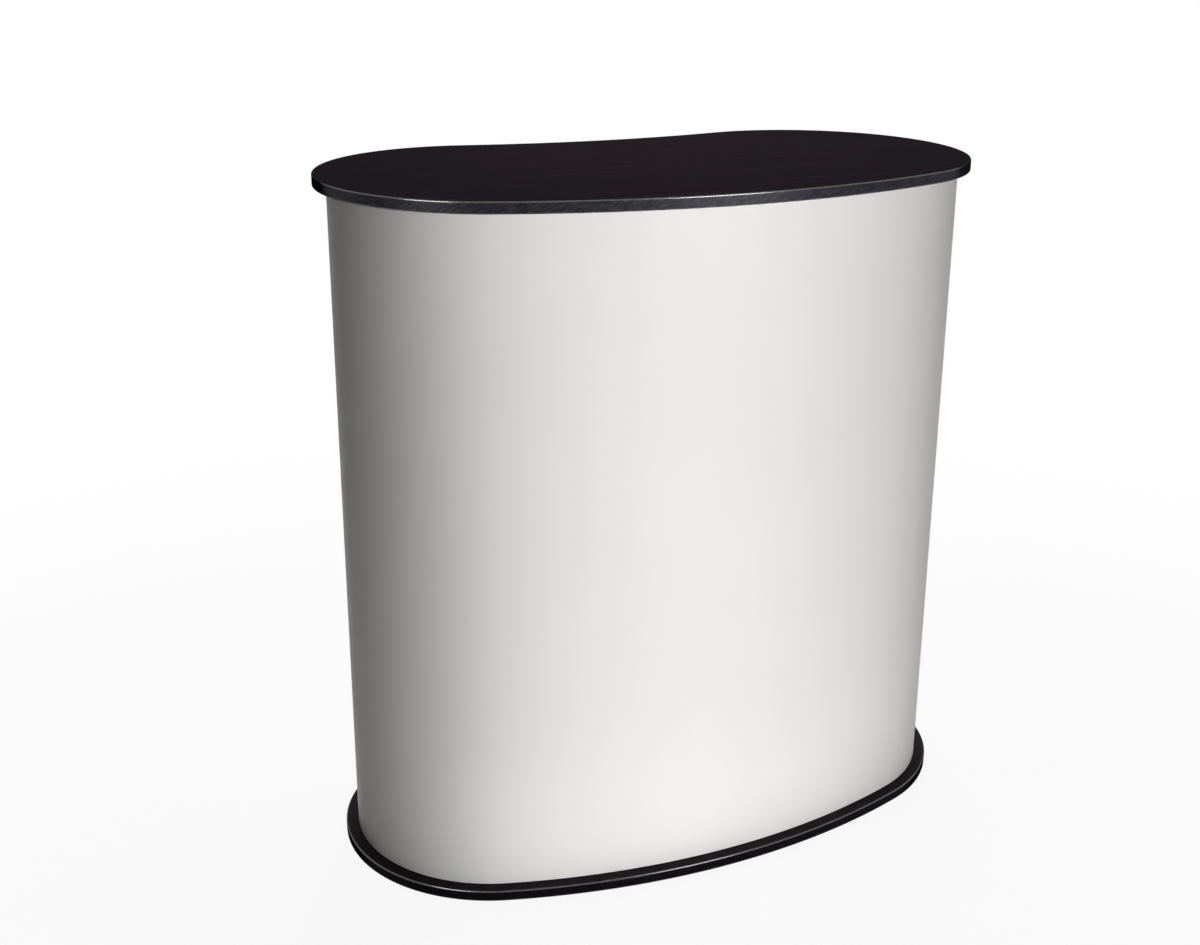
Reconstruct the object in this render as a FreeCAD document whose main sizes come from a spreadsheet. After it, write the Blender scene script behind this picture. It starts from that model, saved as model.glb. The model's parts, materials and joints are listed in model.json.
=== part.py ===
import FreeCAD, Part
import math
import os

import Sketcher

# Promotional counter, kidney-shaped in plan: a wrapped front and ends, a lockable door in the hollow rear.
# Millimetres. The floor is z = 0, the front faces -Y, the rear +Y; the footprint is centred on the origin.

DIMENSIONS = {
    # Plan of the wrap's outer face: two round ends, a bowed front and a hollow rear, all tangent
    "end_radius": 215.0,
    "end_spacing": 508.0,
    "front_radius": 1010.0,
    "rear_radius": 1070.0,
    # Heights
    "counter_height": 1000.0,
    "foot_height": 6.0,
    "worktop_thickness": 16.0,
    "base_thickness": 16.0,
    "former_thickness": 18.0,
    "shelf_level": 515.0,
    "shelf_thickness": 15.0,
    # Worktop and base
    "board_overhang": 18.0,
    "edging_thickness": 2.0,
    "arris_radius": 1.8,
    # Wrap and its fastening tapes
    "wrap_thickness": 1.5,
    "wrap_gap": 1.0,
    "tape_thickness": 1.2,
    "tape_width": 16.0,
    "tape_margin": 5.0,
    # Uprights
    "jamb_width": 45.0,
    "jamb_thickness": 18.0,
    "post_radius": 15.0,
    "post_wall": 2.0,
    "post_offset": 54.0,
    "post_inset": 45.0,
    "plug_length": 30.0,
    # Shelf and its supports
    "shelf_inset": 8.0,
    "shelf_play": 2.0,
    "shelf_corner": 12.0,
    "post_hole_play": 0.5,
    "collar_radius": 23.0,
    "collar_height": 14.0,
    "collar_screw_radius": 2.5,
    "peg_radius": 2.5,
    "peg_depth": 11.0,
    "peg_reach": 14.0,
    "peg_width": 10.0,
    "peg_height": 6.0,
    "peg_edge": 12.0,
    "peg_spacing": 21.0,
    # Screws and bolts
    "wood_screw_radius": 2.0,
    "wood_screw_head": 4.0,
    "wood_screw_bite": 8.0,
    "screw_inset": 45.0,
    "front_screw_angle": -50.0,
    "end_screw_angle": 15.0,
    "rear_screw_angle": 75.0,
    "jamb_screw_bite": 30.0,
    "jamb_screw_depth": 13.5,
    "jamb_screw_edge": 11.0,
    "jamb_screw_spacing": 21.0,
    "bolt_radius": 4.0,
    "bolt_head": 8.0,
    "bolt_grip": 22.0,
    # Door
    "door_thickness": 15.0,
    "door_gap": 3.0,
    "door_clearance": 3.0,
    "door_arris": 0.8,
    "bumper_radius": 5.0,
    "bumper_thickness": 1.3,
    "bumper_play": 0.2,
    "bumper_edge": 40.0,
    # Hinges
    "hinge_length": 76.0,
    "hinge_standoff": 4.0,
    "hinge_margin": 140.0,
    "knuckle_radius": 3.2,
    "knuckle_play": 0.3,
    "pin_radius": 1.6,
    "pin_head": 2.6,
    "pin_head_height": 1.2,
    "leaf_thickness": 1.35,
    "leaf_play": 0.05,
    "leaf_reach": 13.0,
    "hinge_screw_radius": 1.5,
    "hinge_screw_head": 2.8,
    "hinge_screw_length": 14.0,
    "hinge_screw_depth": 7.5,
    "hinge_screw_spacing": 50.0,
    # Pull
    "pull_level": 560.0,
    "pull_edge": 24.0,
    "pull_centres": 128.0,
    "pull_radius": 5.0,
    "pull_standoff": 20.0,
    "pull_bend": 12.0,
    "pull_screw_radius": 2.0,
    "pull_screw_head": 4.0,
    "pull_screw_head_height": 2.4,
    "pull_screw_bite": 6.0,
    # Cam lock
    "lock_level": 700.0,
    "lock_edge": 24.0,
    "flange_radius": 11.0,
    "flange_thickness": 2.0,
    "barrel_radius": 9.0,
    "barrel_tail": 7.0,
    "lock_nut_radius": 14.0,
    "lock_nut_thickness": 4.0,
    "lock_plug_radius": 5.5,
    "keyway_width": 1.6,
    "keyway_height": 7.0,
    "keyway_depth": 6.0,
    "cam_width": 14.0,
    "cam_reach": 40.0,
    "cam_thickness": 2.5,
    "cam_play": 0.6,
    "cam_screw_radius": 2.5,
    "cam_screw_head": 4.5,
    "cam_screw_head_height": 2.5,
    "cam_screw_bite": 8.0,
    "strike_thickness": 1.5,
    "strike_width": 24.0,
    "strike_height": 54.0,
    "strike_edge": 14.0,
    "strike_screw_spacing": 40.0,
    "strike_screw_length": 12.0,
    # Levelling feet
    "front_foot_inset": 50.0,
    "front_foot_angle": -85.0,
    "rear_foot_inset": 65.0,
    "rear_foot_angle": 45.0,
    "pad_radius": 17.0,
    "pad_rim": 2.6,
    "pad_neck": 10.0,
    "pad_play": 0.3,
    "pad_sole": 1.9,
    "stem_radius": 4.0,
    "stem_length": 30.0,
    "stem_flange_radius": 6.0,
    "stem_flange_thickness": 1.6,
    "stem_slot_width": 1.5,
    "stem_slot_depth": 2.5,
    "insert_radius": 6.0,
    "insert_flange_radius": 8.5,
    "insert_flange_thickness": 1.5,
    "access_radius": 8.0,
    # Fits
    "fit_clearance": 0.1,
    "running_clearance": 0.05,
    "seat_play": 0.1,
    "glue_line": 0.15,
    "join_overlap": 1.0,
    "bore_overrun": 1.0,
}

doc = FreeCAD.newDocument("promotional_counter")
dims = doc.addObject("Spreadsheet::Sheet", "dims")
for row, (alias, size) in enumerate(DIMENSIONS.items(), start=1):
    dims.set(f"A{row}", str(size))
    dims.setAlias(f"A{row}", alias)
doc.recompute()

# Plan centres and angles
LOBE_X = "dims.end_spacing / 2"
FRONT_RISE = f"sqrt((dims.front_radius - dims.end_radius)^2 - ({LOBE_X})^2)"
REAR_RISE = f"sqrt((dims.rear_radius + dims.end_radius)^2 - ({LOBE_X})^2)"
LOBE_Y = f"((dims.front_radius - {FRONT_RISE} - dims.end_radius) / 2)"
FRONT_Y = f"({LOBE_Y} + {FRONT_RISE})"
REAR_Y = f"({LOBE_Y} + {REAR_RISE})"
FRONT_TURN = f"asin({LOBE_X} / (dims.front_radius - dims.end_radius))"
REAR_TURN = f"asin({LOBE_X} / (dims.rear_radius + dims.end_radius))"

# Levels
BASE_TOP = "(dims.foot_height + dims.base_thickness)"
FLOOR_TOP = f"({BASE_TOP} + dims.former_thickness)"
WORKTOP_LOW = "(dims.counter_height - dims.worktop_thickness)"
CEILING = f"({WORKTOP_LOW} - dims.former_thickness)"
SHELF_LOW = "(dims.shelf_level - dims.shelf_thickness)"
DOOR_LOW = f"({BASE_TOP} + dims.door_clearance)"
DOOR_TOP = f"({WORKTOP_LOW} - dims.door_clearance)"

# Depths behind the wrap's outer face
TAPE_STEP = "(dims.tape_thickness + dims.glue_line)"
BACKING = f"(dims.wrap_thickness + 2 * {TAPE_STEP} + dims.glue_line)"
JAMB_BACK = f"({BACKING} + dims.jamb_thickness)"
CAM_FRONT = f"({JAMB_BACK} + dims.strike_thickness + dims.cam_play)"
STOP_DEPTH = "(dims.door_thickness + dims.bumper_play + dims.bumper_thickness + dims.seat_play)"

# Directions of an upright form laid over: its own +Z comes to point the way that is named
DOWN = FreeCAD.Rotation(FreeCAD.Vector(1, 0, 0), 180)
INWARD = FreeCAD.Rotation(FreeCAD.Vector(1, 0, 0), 90)
PLUS_X = FreeCAD.Rotation(FreeCAD.Vector(0, 1, 0), 90)
MINUS_X = FreeCAD.Rotation(FreeCAD.Vector(0, 1, 0), -90)

nodes = {}


def number(expression):
    """Value of an expression over the sheet."""
    return float(FreeCAD.Units.Quantity(dims.evalExpression(expression)).Value)


def rear(depth):
    """Distance from the rear arc's centre to a depth behind the wrap's outer face."""
    return f"(dims.rear_radius + ({depth}))"


def turn(distance):
    """Angle about the rear arc's centre that spans a distance along the rear face."""
    return f"(({distance}) / dims.rear_radius * 180 deg / pi)"


OPENING_TURN = f"({REAR_TURN} + {turn('dims.door_gap / 2')})"
DOOR_TURN = f"({REAR_TURN} - {turn('dims.door_gap / 2')})"
LOCK_TURN = f"(-({DOOR_TURN} - {turn('dims.lock_edge')}))"
PULL_TURN = f"(-({DOOR_TURN} - {turn('dims.pull_edge')}))"
STRIKE_TURN = f"(-({OPENING_TURN} + {turn('dims.strike_edge')}))"
HINGE_AXIS = rear("-dims.hinge_standoff")


def keep(name, piece):
    """Names a finished sub-part, to be checked and written."""
    piece.Label = name
    nodes[name] = piece
    return piece


def bind(piece, **expressions):
    """Drives properties of a piece by expressions over the sheet."""
    for prop, expression in expressions.items():
        piece.setExpression(prop, expression)
    return piece


def place(piece, x=None, y=None, z=None, turned=None, lean=None):
    """Puts a piece in place; turned is its angle about the vertical, lean a fixed direction instead."""
    if lean is not None:
        piece.Placement = FreeCAD.Placement(FreeCAD.Vector(), lean)
    for path, expression in (("Base.x", x), ("Base.y", y), ("Base.z", z), ("Rotation.Angle", turned)):
        if expression is not None:
            piece.setExpression(f"Placement.{path}", expression)
    return piece


def at_rear(piece, angle, level="0"):
    """Swings a piece modelled about the rear arc's centre out to an angle from the centre line."""
    return place(piece, y=REAR_Y, z=level, turned=angle)


def rear_spot(depth, angle):
    """Plan position at a depth behind the rear face and an angle from the centre line."""
    return {
        "x": f"{rear(depth)} * sin({angle})",
        "y": f"{REAR_Y} - {rear(depth)} * cos({angle})",
    }


def lobe_spot(side, radius, angle):
    """Plan position round the centre of one end; side is 1 or -1."""
    return {
        "x": f"{side} * ({LOBE_X} + ({radius}) * cos({angle}))",
        "y": f"{LOBE_Y} + ({radius}) * sin({angle})",
    }


def cylinder(name, radius, height, **where):
    """Round bar standing on its own origin."""
    piece = bind(doc.addObject("Part::Cylinder", name), Radius=radius, Height=height)
    return place(piece, **where)


def inward(name, radius, depth, length, z="0"):
    """Round bar about the rear frame's centre line, from a depth behind the rear face further inward."""
    return cylinder(name, radius, length, y=f"-{rear(depth)}", z=z, lean=INWARD)


def box(name, length, width, height, **where):
    """Square bar with a corner at its own origin."""
    piece = bind(doc.addObject("Part::Box", name), Length=length, Width=width, Height=height)
    return place(piece, **where)


def sector(name, radius, start, sweep, low, high):
    """Slice of a cylinder about the rear arc's centre, from one angle off the centre line."""
    piece = doc.addObject("Part::Cylinder", name)
    bind(piece, Radius=radius, Angle=sweep, Height=f"{high} - ({low})")
    return at_rear(piece, f"{start} - 90 deg", low)


def group(name, *members):
    """Separate solids kept together."""
    piece = doc.addObject("Part::Compound", name)
    piece.Links = list(members)
    return piece


def fuse(name, *members):
    """Members joined into one solid."""
    piece = doc.addObject("Part::MultiFuse", name)
    piece.Shapes = list(members)
    return piece


def cut(name, base, *tools):
    """A base with tools that stand clear of one another taken out of it."""
    piece = doc.addObject("Part::Cut", name)
    piece.Base = base
    piece.Tool = tools[0] if len(tools) == 1 else group(f"{name}_tools", *tools)
    return piece


def common(name, base, tool):
    """What two pieces share."""
    piece = doc.addObject("Part::Common", name)
    piece.Base = base
    piece.Tool = tool
    return piece


def copies(name, form, spots, lean=None):
    """One solid of the same form at each spot."""
    members = []
    for index, spot in enumerate(spots, start=1):
        member = doc.addObject("App::Link", f"{name}_{index}")
        member.LinkedObject = form
        members.append(place(member, lean=lean, **spot))
    return group(name, *members)


def screw(name, radius, head, length, grow="0"):
    """Countersunk screw, head face at its origin, shank down; grown by a clearance it is its own hole."""
    cone = doc.addObject("Part::Cone", f"{name}_head")
    bind(cone, Radius1=f"{radius} + {grow}", Radius2=f"{head} + {grow}", Height=f"{head} - {radius}")
    place(cone, z=f"{radius} - {head}")
    shank = cylinder(
        f"{name}_shank",
        f"{radius} + {grow}",
        f"{length} - ({head} - {radius}) + {grow}",
        z=f"-({length}) - {grow}",
    )
    return fuse(name, cone, shank)


def screws(name, radius, head, length, spots, lean=None):
    """Countersunk screws at their spots, and the group of holes that takes them."""
    form = screw(f"{name}_form", radius, head, length)
    hole = screw(f"{name}_hole", radius, head, length, "dims.fit_clearance")
    return copies(f"{name}_set", form, spots, lean), copies(f"{name}_holes", hole, spots, lean)


def rounded(name, base, radius, wanted):
    """A base with its wanted edges rounded."""
    doc.recompute()
    size = number(radius)
    piece = doc.addObject("Part::Fillet", name)
    piece.Base = base
    edges = enumerate(base.Shape.Edges, start=1)
    piece.Edges = [(index, size, size) for index, edge in edges if wanted(edge)]
    return piece


def on_rear_arc(edge, radius):
    """Whether an edge's ends lie on an upright cylinder about the rear arc's centre."""
    centre_y = number(REAR_Y)
    reaches = [math.hypot(vertex.X, vertex.Y - centre_y) for vertex in edge.Vertexes]
    return max(abs(reach - number(radius)) for reach in reaches) < 0.01


def arc(centre_x, centre_y, radius, start, end):
    """Arc for a sketch, between two angles in degrees."""
    circle = Part.Circle(FreeCAD.Vector(centre_x, centre_y, 0), FreeCAD.Vector(0, 0, 1), radius)
    return Part.ArcOfCircle(circle, math.radians(start), math.radians(end))


def kidney_loop(sketch, outset):
    """Closed kidney outline in a sketch, standing off the wrap's outer face by an outset."""
    lobe_x, lobe_y = number(LOBE_X), number(LOBE_Y)
    front_turn, rear_turn = number(FRONT_TURN), number(REAR_TURN)
    end_radius = f"dims.end_radius + ({outset})"
    front_radius = f"dims.front_radius + ({outset})"
    rear_radius = f"dims.rear_radius - ({outset})"
    ends, bow, hollow = number(end_radius), number(front_radius), number(rear_radius)
    right = sketch.addGeometry(arc(lobe_x, lobe_y, ends, front_turn - 90, rear_turn + 90))
    left = sketch.addGeometry(arc(-lobe_x, lobe_y, ends, 90 - rear_turn, 270 - front_turn))
    front = sketch.addGeometry(arc(0, number(FRONT_Y), bow, -90 - front_turn, front_turn - 90))
    back = sketch.addGeometry(arc(0, number(REAR_Y), hollow, -90 - rear_turn, rear_turn - 90))
    sketch.addConstraint(Sketcher.Constraint("Tangent", right, 1, front, 2))
    sketch.addConstraint(Sketcher.Constraint("Tangent", right, 2, back, 2))
    sketch.addConstraint(Sketcher.Constraint("Tangent", left, 1, back, 1))
    sketch.addConstraint(Sketcher.Constraint("Tangent", left, 2, front, 1))
    sketch.addConstraint(Sketcher.Constraint("Equal", right, left))
    sketch.addConstraint(Sketcher.Constraint("Symmetric", right, 3, left, 3, -2))
    driven = (
        ("lobe_x", LOBE_X, ("DistanceX", -1, 1, right, 3, lobe_x)),
        ("lobe_y", LOBE_Y, ("DistanceY", -1, 1, right, 3, lobe_y)),
        ("end_radius", end_radius, ("Radius", right, ends)),
        ("front_radius", front_radius, ("Radius", front, bow)),
        ("rear_radius", rear_radius, ("Radius", back, hollow)),
    )
    for name, expression, constraint in driven:
        index = sketch.addConstraint(Sketcher.Constraint(*constraint))
        sketch.renameConstraint(index, f"{name}_{right}")
        sketch.setExpression(f"Constraints.{name}_{right}", expression)


def kidney(name, outsets, low, high):
    """Kidney-shaped plate between two levels, or a ring where two outsets are given."""
    body = doc.addObject("PartDesign::Body", name)
    sketch = body.newObject("Sketcher::SketchObject", f"{name}_outline")
    plane = [feature for feature in body.Origin.OriginFeatures if feature.Role == "XY_Plane"][0]
    sketch.AttachmentSupport = (plane, [""])
    sketch.MapMode = "FlatFace"
    sketch.setExpression("AttachmentOffset.Base.z", low)
    for outset in outsets:
        kidney_loop(sketch, outset)
    pad = body.newObject("PartDesign::Pad", f"{name}_pad")
    pad.Profile = sketch
    bind(pad, Length=f"{high} - ({low})")
    sketch.Visibility = False
    return body


def edging(name, low, high):
    """Band round a board's edge with both outer arrises rounded."""
    inner = "dims.board_overhang - dims.edging_thickness"
    body = kidney(f"{name}_body", ("dims.board_overhang", inner), low, high)
    doc.recompute()
    pad = body.Tip
    outer_radii = [
        number("dims.end_radius + dims.board_overhang"),
        number("dims.front_radius + dims.board_overhang"),
        number("dims.rear_radius - dims.board_overhang"),
    ]
    arrises = []
    for index, edge in enumerate(pad.Shape.Edges, start=1):
        round_edge = isinstance(edge.Curve, Part.Circle)
        if round_edge and min(abs(edge.Curve.Radius - radius) for radius in outer_radii) < 0.01:
            arrises.append(f"Edge{index}")
    rounding = body.newObject("PartDesign::Fillet", f"{name}_arris")
    rounding.Base = (pad, arrises)
    bind(rounding, Radius="dims.arris_radius")
    return keep(name, body)


BOARD_OUTSET = "dims.board_overhang - dims.edging_thickness - dims.glue_line"
POST_SPOTS = [
    {
        "x": f"{side} * ({LOBE_X} - dims.post_offset)",
        "y": f"{LOBE_Y} - (dims.end_radius - dims.post_inset)",
    }
    for side in (-1, 1)
]
FOOT_SPOTS = [
    lobe_spot(side, f"dims.end_radius - dims.{end}_foot_inset", f"dims.{end}_foot_angle")
    for end in ("front", "rear")
    for side in (-1, 1)
]
BOARD_SCREW_SPOTS = [
    lobe_spot(side, "dims.end_radius - dims.screw_inset", f"dims.{where}_screw_angle")
    for where in ("front", "end", "rear")
    for side in (-1, 1)
]
JAMB_SCREW_SPOTS = [
    rear_spot(
        "dims.jamb_screw_depth",
        f"{side} * ({OPENING_TURN} + {turn(f'dims.jamb_screw_edge + {step} * dims.jamb_screw_spacing')})",
    )
    for side in (-1, 1)
    for step in (0, 1)
]


def lifted(spots, level):
    """The same plan positions, at one level."""
    return [{**spot, "z": level} for spot in spots]


# The rear opening, as the space between the jambs that the door fills
opening = sector(
    "opening", rear(STOP_DEPTH), f"-{OPENING_TURN}", f"2 * {OPENING_TURN}", "0", "dims.counter_height"
)

# Screws and bolts of the carcass
wood = ("dims.wood_screw_radius", "dims.wood_screw_head")
bolt = ("dims.bolt_radius", "dims.bolt_head")
board_grip = "dims.former_thickness + dims.wood_screw_bite"
jamb_grip = "dims.former_thickness + dims.jamb_screw_bite"
worktop_screws, worktop_holes = screws(
    "worktop_screw", *wood, board_grip, lifted(BOARD_SCREW_SPOTS, CEILING), DOWN
)
base_screws, base_holes = screws("base_screw", *wood, board_grip, lifted(BOARD_SCREW_SPOTS, FLOOR_TOP))
high_jamb_screws, high_jamb_holes = screws(
    "high_jamb_screw", *wood, jamb_grip, lifted(JAMB_SCREW_SPOTS, WORKTOP_LOW)
)
low_jamb_screws, low_jamb_holes = screws(
    "low_jamb_screw", *wood, jamb_grip, lifted(JAMB_SCREW_SPOTS, BASE_TOP), DOWN
)
high_bolts, high_bolt_holes = screws(
    "high_bolt", *bolt, "dims.former_thickness + dims.bolt_grip", lifted(POST_SPOTS, WORKTOP_LOW)
)
low_bolts, low_bolt_holes = screws(
    "low_bolt",
    *bolt,
    "dims.base_thickness + dims.former_thickness + dims.bolt_grip",
    lifted(POST_SPOTS, "dims.foot_height"),
    DOWN,
)
keep("worktop_screws", worktop_screws)
keep("base_screws", base_screws)
keep("jamb_screws", group("jamb_screw_set", high_jamb_screws, low_jamb_screws))
keep("post_bolts", group("bolt_set", high_bolts, low_bolts))

# Levelling feet and the threaded inserts they turn in
insert_length = "(dims.base_thickness - dims.fit_clearance)"
insert_body = fuse(
    "insert_body",
    cylinder("insert_barrel", "dims.insert_radius", insert_length),
    cylinder("insert_flange", "dims.insert_flange_radius", "dims.insert_flange_thickness"),
)
insert_form = cut(
    "insert_form",
    insert_body,
    cylinder("insert_thread", "dims.stem_radius + dims.running_clearance", insert_length),
)
insert_hole = fuse(
    "insert_hole",
    cylinder("insert_hole_barrel", "dims.insert_radius + dims.fit_clearance", "dims.base_thickness"),
    cylinder(
        "insert_hole_flange",
        "dims.insert_flange_radius + dims.fit_clearance",
        "dims.insert_flange_thickness + dims.fit_clearance",
    ),
)
keep("foot_inserts", copies("insert_set", insert_form, lifted(FOOT_SPOTS, "dims.foot_height")))
insert_holes = copies("insert_holes", insert_hole, lifted(FOOT_SPOTS, "dims.foot_height"))
access_form = group("access_form", cylinder("access_bore", "dims.access_radius", "dims.former_thickness"))
access_holes = copies("access_holes", access_form, lifted(FOOT_SPOTS, BASE_TOP))

pad_height = "(dims.foot_height - dims.pad_play)"
pad_top = doc.addObject("Part::Cone", "pad_top")
bind(pad_top, Radius1="dims.pad_radius", Radius2="dims.pad_neck", Height=f"{pad_height} - dims.pad_rim")
place(pad_top, z="dims.pad_rim")
pad_body = fuse("pad_body", cylinder("pad_rim_disc", "dims.pad_radius", "dims.pad_rim"), pad_top)
pad_socket = fuse(
    "pad_socket",
    cylinder(
        "pad_cavity",
        "dims.stem_flange_radius + dims.running_clearance",
        "dims.stem_flange_thickness + 2 * dims.running_clearance",
        z="dims.pad_sole",
    ),
    cylinder("pad_bore", "dims.stem_radius + dims.running_clearance", pad_height, z="dims.pad_sole"),
)
pad_form = cut("pad_form", pad_body, pad_socket)
stem_low = "(dims.pad_sole + dims.running_clearance)"
stem_body = fuse(
    "stem_body",
    cylinder("stem_bar", "dims.stem_radius", "dims.stem_length", z=stem_low),
    cylinder("stem_flange", "dims.stem_flange_radius", "dims.stem_flange_thickness", z=stem_low),
)
stem_slot = box(
    "stem_slot",
    "2 * dims.stem_radius",
    "dims.stem_slot_width",
    "dims.stem_slot_depth",
    x="-dims.stem_radius",
    y="-dims.stem_slot_width / 2",
    z=f"{stem_low} + dims.stem_length - dims.stem_slot_depth",
)
stem_form = cut("stem_form", stem_body, stem_slot)
for corner, spot in zip(("front_left", "front_right", "rear_left", "rear_right"), FOOT_SPOTS):
    keep(f"foot_pad_{corner}", copies(f"pad_{corner}", pad_form, [spot]))
    keep(f"foot_stem_{corner}", copies(f"stem_{corner}", stem_form, [spot]))

# Worktop and base boards with their edgings
worktop_body = kidney("worktop_body", (BOARD_OUTSET,), WORKTOP_LOW, "dims.counter_height")
keep("worktop_board", cut("worktop_drilled", worktop_body, worktop_holes))
edging("worktop_edging", WORKTOP_LOW, "dims.counter_height")
base_body = kidney("base_body", (BOARD_OUTSET,), "dims.foot_height", BASE_TOP)
keep("base_board", cut("base_drilled", base_body, base_holes, low_bolt_holes, insert_holes))
edging("base_edging", "dims.foot_height", BASE_TOP)

# Formers, stepped back behind the door
top_former_body = kidney("top_former_body", (f"-{BACKING}",), CEILING, WORKTOP_LOW)
top_former_plate = cut("top_former_plate", top_former_body, opening)
top_holes = (worktop_holes, high_jamb_holes, high_bolt_holes)
keep("top_former", cut("top_former_drilled", top_former_plate, *top_holes))
base_former_body = kidney("base_former_body", (f"-{BACKING}",), BASE_TOP, FLOOR_TOP)
base_former_plate = cut("base_former_plate", base_former_body, opening)
floor_holes = (base_holes, low_jamb_holes, low_bolt_holes, access_holes)
keep("base_former", cut("base_former_drilled", base_former_plate, *floor_holes))

# Wrap, open at the rear, with hook tapes on its back and loop tapes on the formers and jambs
wrap_ring = kidney(
    "wrap_ring",
    ("0", "-dims.wrap_thickness"),
    f"{BASE_TOP} + dims.wrap_gap",
    f"{WORKTOP_LOW} - dims.wrap_gap",
)
keep("wrap_panel", cut("wrap_sheet", wrap_ring, opening))
tape_step = "(dims.former_thickness - dims.tape_width) / 2"
bands = [
    box(
        f"{name}_band",
        "2 * (dims.end_spacing + dims.end_radius)",
        "2 * (dims.end_spacing + dims.end_radius)",
        "dims.tape_width",
        x="-(dims.end_spacing + dims.end_radius)",
        y="-(dims.end_spacing + dims.end_radius)",
        z=f"{low} + {tape_step}",
    )
    for name, low in (("base", BASE_TOP), ("top", CEILING))
]
tape_start = f"({OPENING_TURN} + {turn('dims.tape_margin')})"
tape_sweep = turn("dims.tape_width")
strips = [
    sector(
        f"{name}_strip",
        rear(JAMB_BACK),
        start,
        tape_sweep,
        f"{FLOOR_TOP} + dims.tape_margin",
        f"{CEILING} - dims.tape_margin",
    )
    for name, start in (("hinge", tape_start), ("lock", f"-({tape_start} + {tape_sweep})"))
]
for name, layer in (("hook_tapes", "0"), ("loop_tapes", "1")):
    outer = f"-(dims.wrap_thickness + dims.glue_line + {layer} * {TAPE_STEP})"
    inner = f"-(dims.wrap_thickness + ({layer} + 1) * {TAPE_STEP})"
    tape_ring = kidney(f"{name}_ring", (outer, inner), BASE_TOP, WORKTOP_LOW)
    tape_sheet = cut(f"{name}_sheet", tape_ring, opening)
    lengths = [common(f"{name}_{index}", tape_sheet, limit) for index, limit in enumerate(bands + strips)]
    keep(name, group(f"{name}_set", *lengths))

# Butt hinges, modelled about the rear arc's centre and swung out to the hinge side of the door
knuckle_bore = "dims.pin_radius + dims.running_clearance"
leaf_start = f"({HINGE_AXIS} + dims.knuckle_radius + dims.knuckle_play)"
leaf_face = "(dims.door_gap / 2 - dims.leaf_play)"
third = "(dims.hinge_length / 3)"
hinge_low = f"({DOOR_LOW} + dims.hinge_margin)"
hinge_high = f"({DOOR_TOP} - dims.hinge_margin)"
HINGE_LEVELS = (hinge_low, f"(({hinge_low} + {hinge_high}) / 2)", hinge_high)
HINGE_SPOTS = [{"y": REAR_Y, "z": level, "turned": REAR_TURN} for level in HINGE_LEVELS]


def hinge_leaf(name, near, knuckles, holes):
    """One leaf: a plate in the gap from its near face, rolled round the pin over some of its thirds."""
    members = [
        box(
            f"{name}_plate",
            "dims.leaf_thickness",
            f"{rear('dims.leaf_reach')} - {leaf_start}",
            "dims.hinge_length",
            x=near,
            y=f"-{rear('dims.leaf_reach')}",
            z="-dims.hinge_length / 2",
        )
    ]
    for index in knuckles:
        low = f"-dims.hinge_length / 2 + {index} * {third} + dims.knuckle_play / 2"
        length = f"{third} - dims.knuckle_play"
        roll = cylinder(f"{name}_roll_{index}", "dims.knuckle_radius", length, y=f"-{HINGE_AXIS}", z=low)
        web = box(
            f"{name}_web_{index}",
            "dims.leaf_thickness",
            f"{leaf_start} - {HINGE_AXIS} + dims.join_overlap",
            length,
            x=near,
            y=f"-{leaf_start} - dims.join_overlap",
            z=low,
        )
        members += [roll, web]
    bore = cylinder(
        f"{name}_bore", knuckle_bore, "dims.hinge_length", y=f"-{HINGE_AXIS}", z="-dims.hinge_length / 2"
    )
    return cut(f"{name}_leaf", fuse(f"{name}_blank", *members), bore, holes)


hinge_screw = ("dims.hinge_screw_radius", "dims.hinge_screw_head", "dims.hinge_screw_length")
hinge_holes = {}
for name, near, face, lean, knuckles in (
    ("frame", f"{leaf_face} - dims.leaf_thickness", f"{leaf_face} - dims.leaf_thickness", MINUS_X, (0, 2)),
    ("door", f"-{leaf_face}", f"dims.leaf_thickness - {leaf_face}", PLUS_X, (1,)),
):
    screw_y = f"-{rear('dims.hinge_screw_depth')}"
    levels = [f"{side} * dims.hinge_screw_spacing / 2" for side in (-1, 1)]
    pair_spots = [{"x": face, "y": screw_y, "z": level} for level in levels]
    pair, pair_holes = screws(f"hinge_{name}_screw", *hinge_screw, pair_spots, lean)
    leaf = hinge_leaf(f"hinge_{name}", near, knuckles, pair_holes)
    keep(f"hinge_{name}_leaves", copies(f"hinge_{name}_leaf_set", leaf, HINGE_SPOTS))
    keep(f"hinge_{name}_screws", copies(f"hinge_{name}_screw_trio", pair, HINGE_SPOTS))
    hinge_holes[name] = copies(f"hinge_{name}_hole_trio", pair_holes, HINGE_SPOTS)
pin_y = f"-{HINGE_AXIS}"
pin_low = "-dims.hinge_length / 2"
pin_cap = ("dims.pin_head", "dims.pin_head_height")
pin_form = fuse(
    "pin_form",
    cylinder("pin_bar", "dims.pin_radius", "dims.hinge_length", y=pin_y, z=pin_low),
    cylinder("pin_top", *pin_cap, y=pin_y, z="dims.hinge_length / 2"),
    cylinder("pin_foot", *pin_cap, y=pin_y, z=f"{pin_low} - dims.pin_head_height"),
)
keep("hinge_pins", copies("pin_set", pin_form, HINGE_SPOTS))

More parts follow.
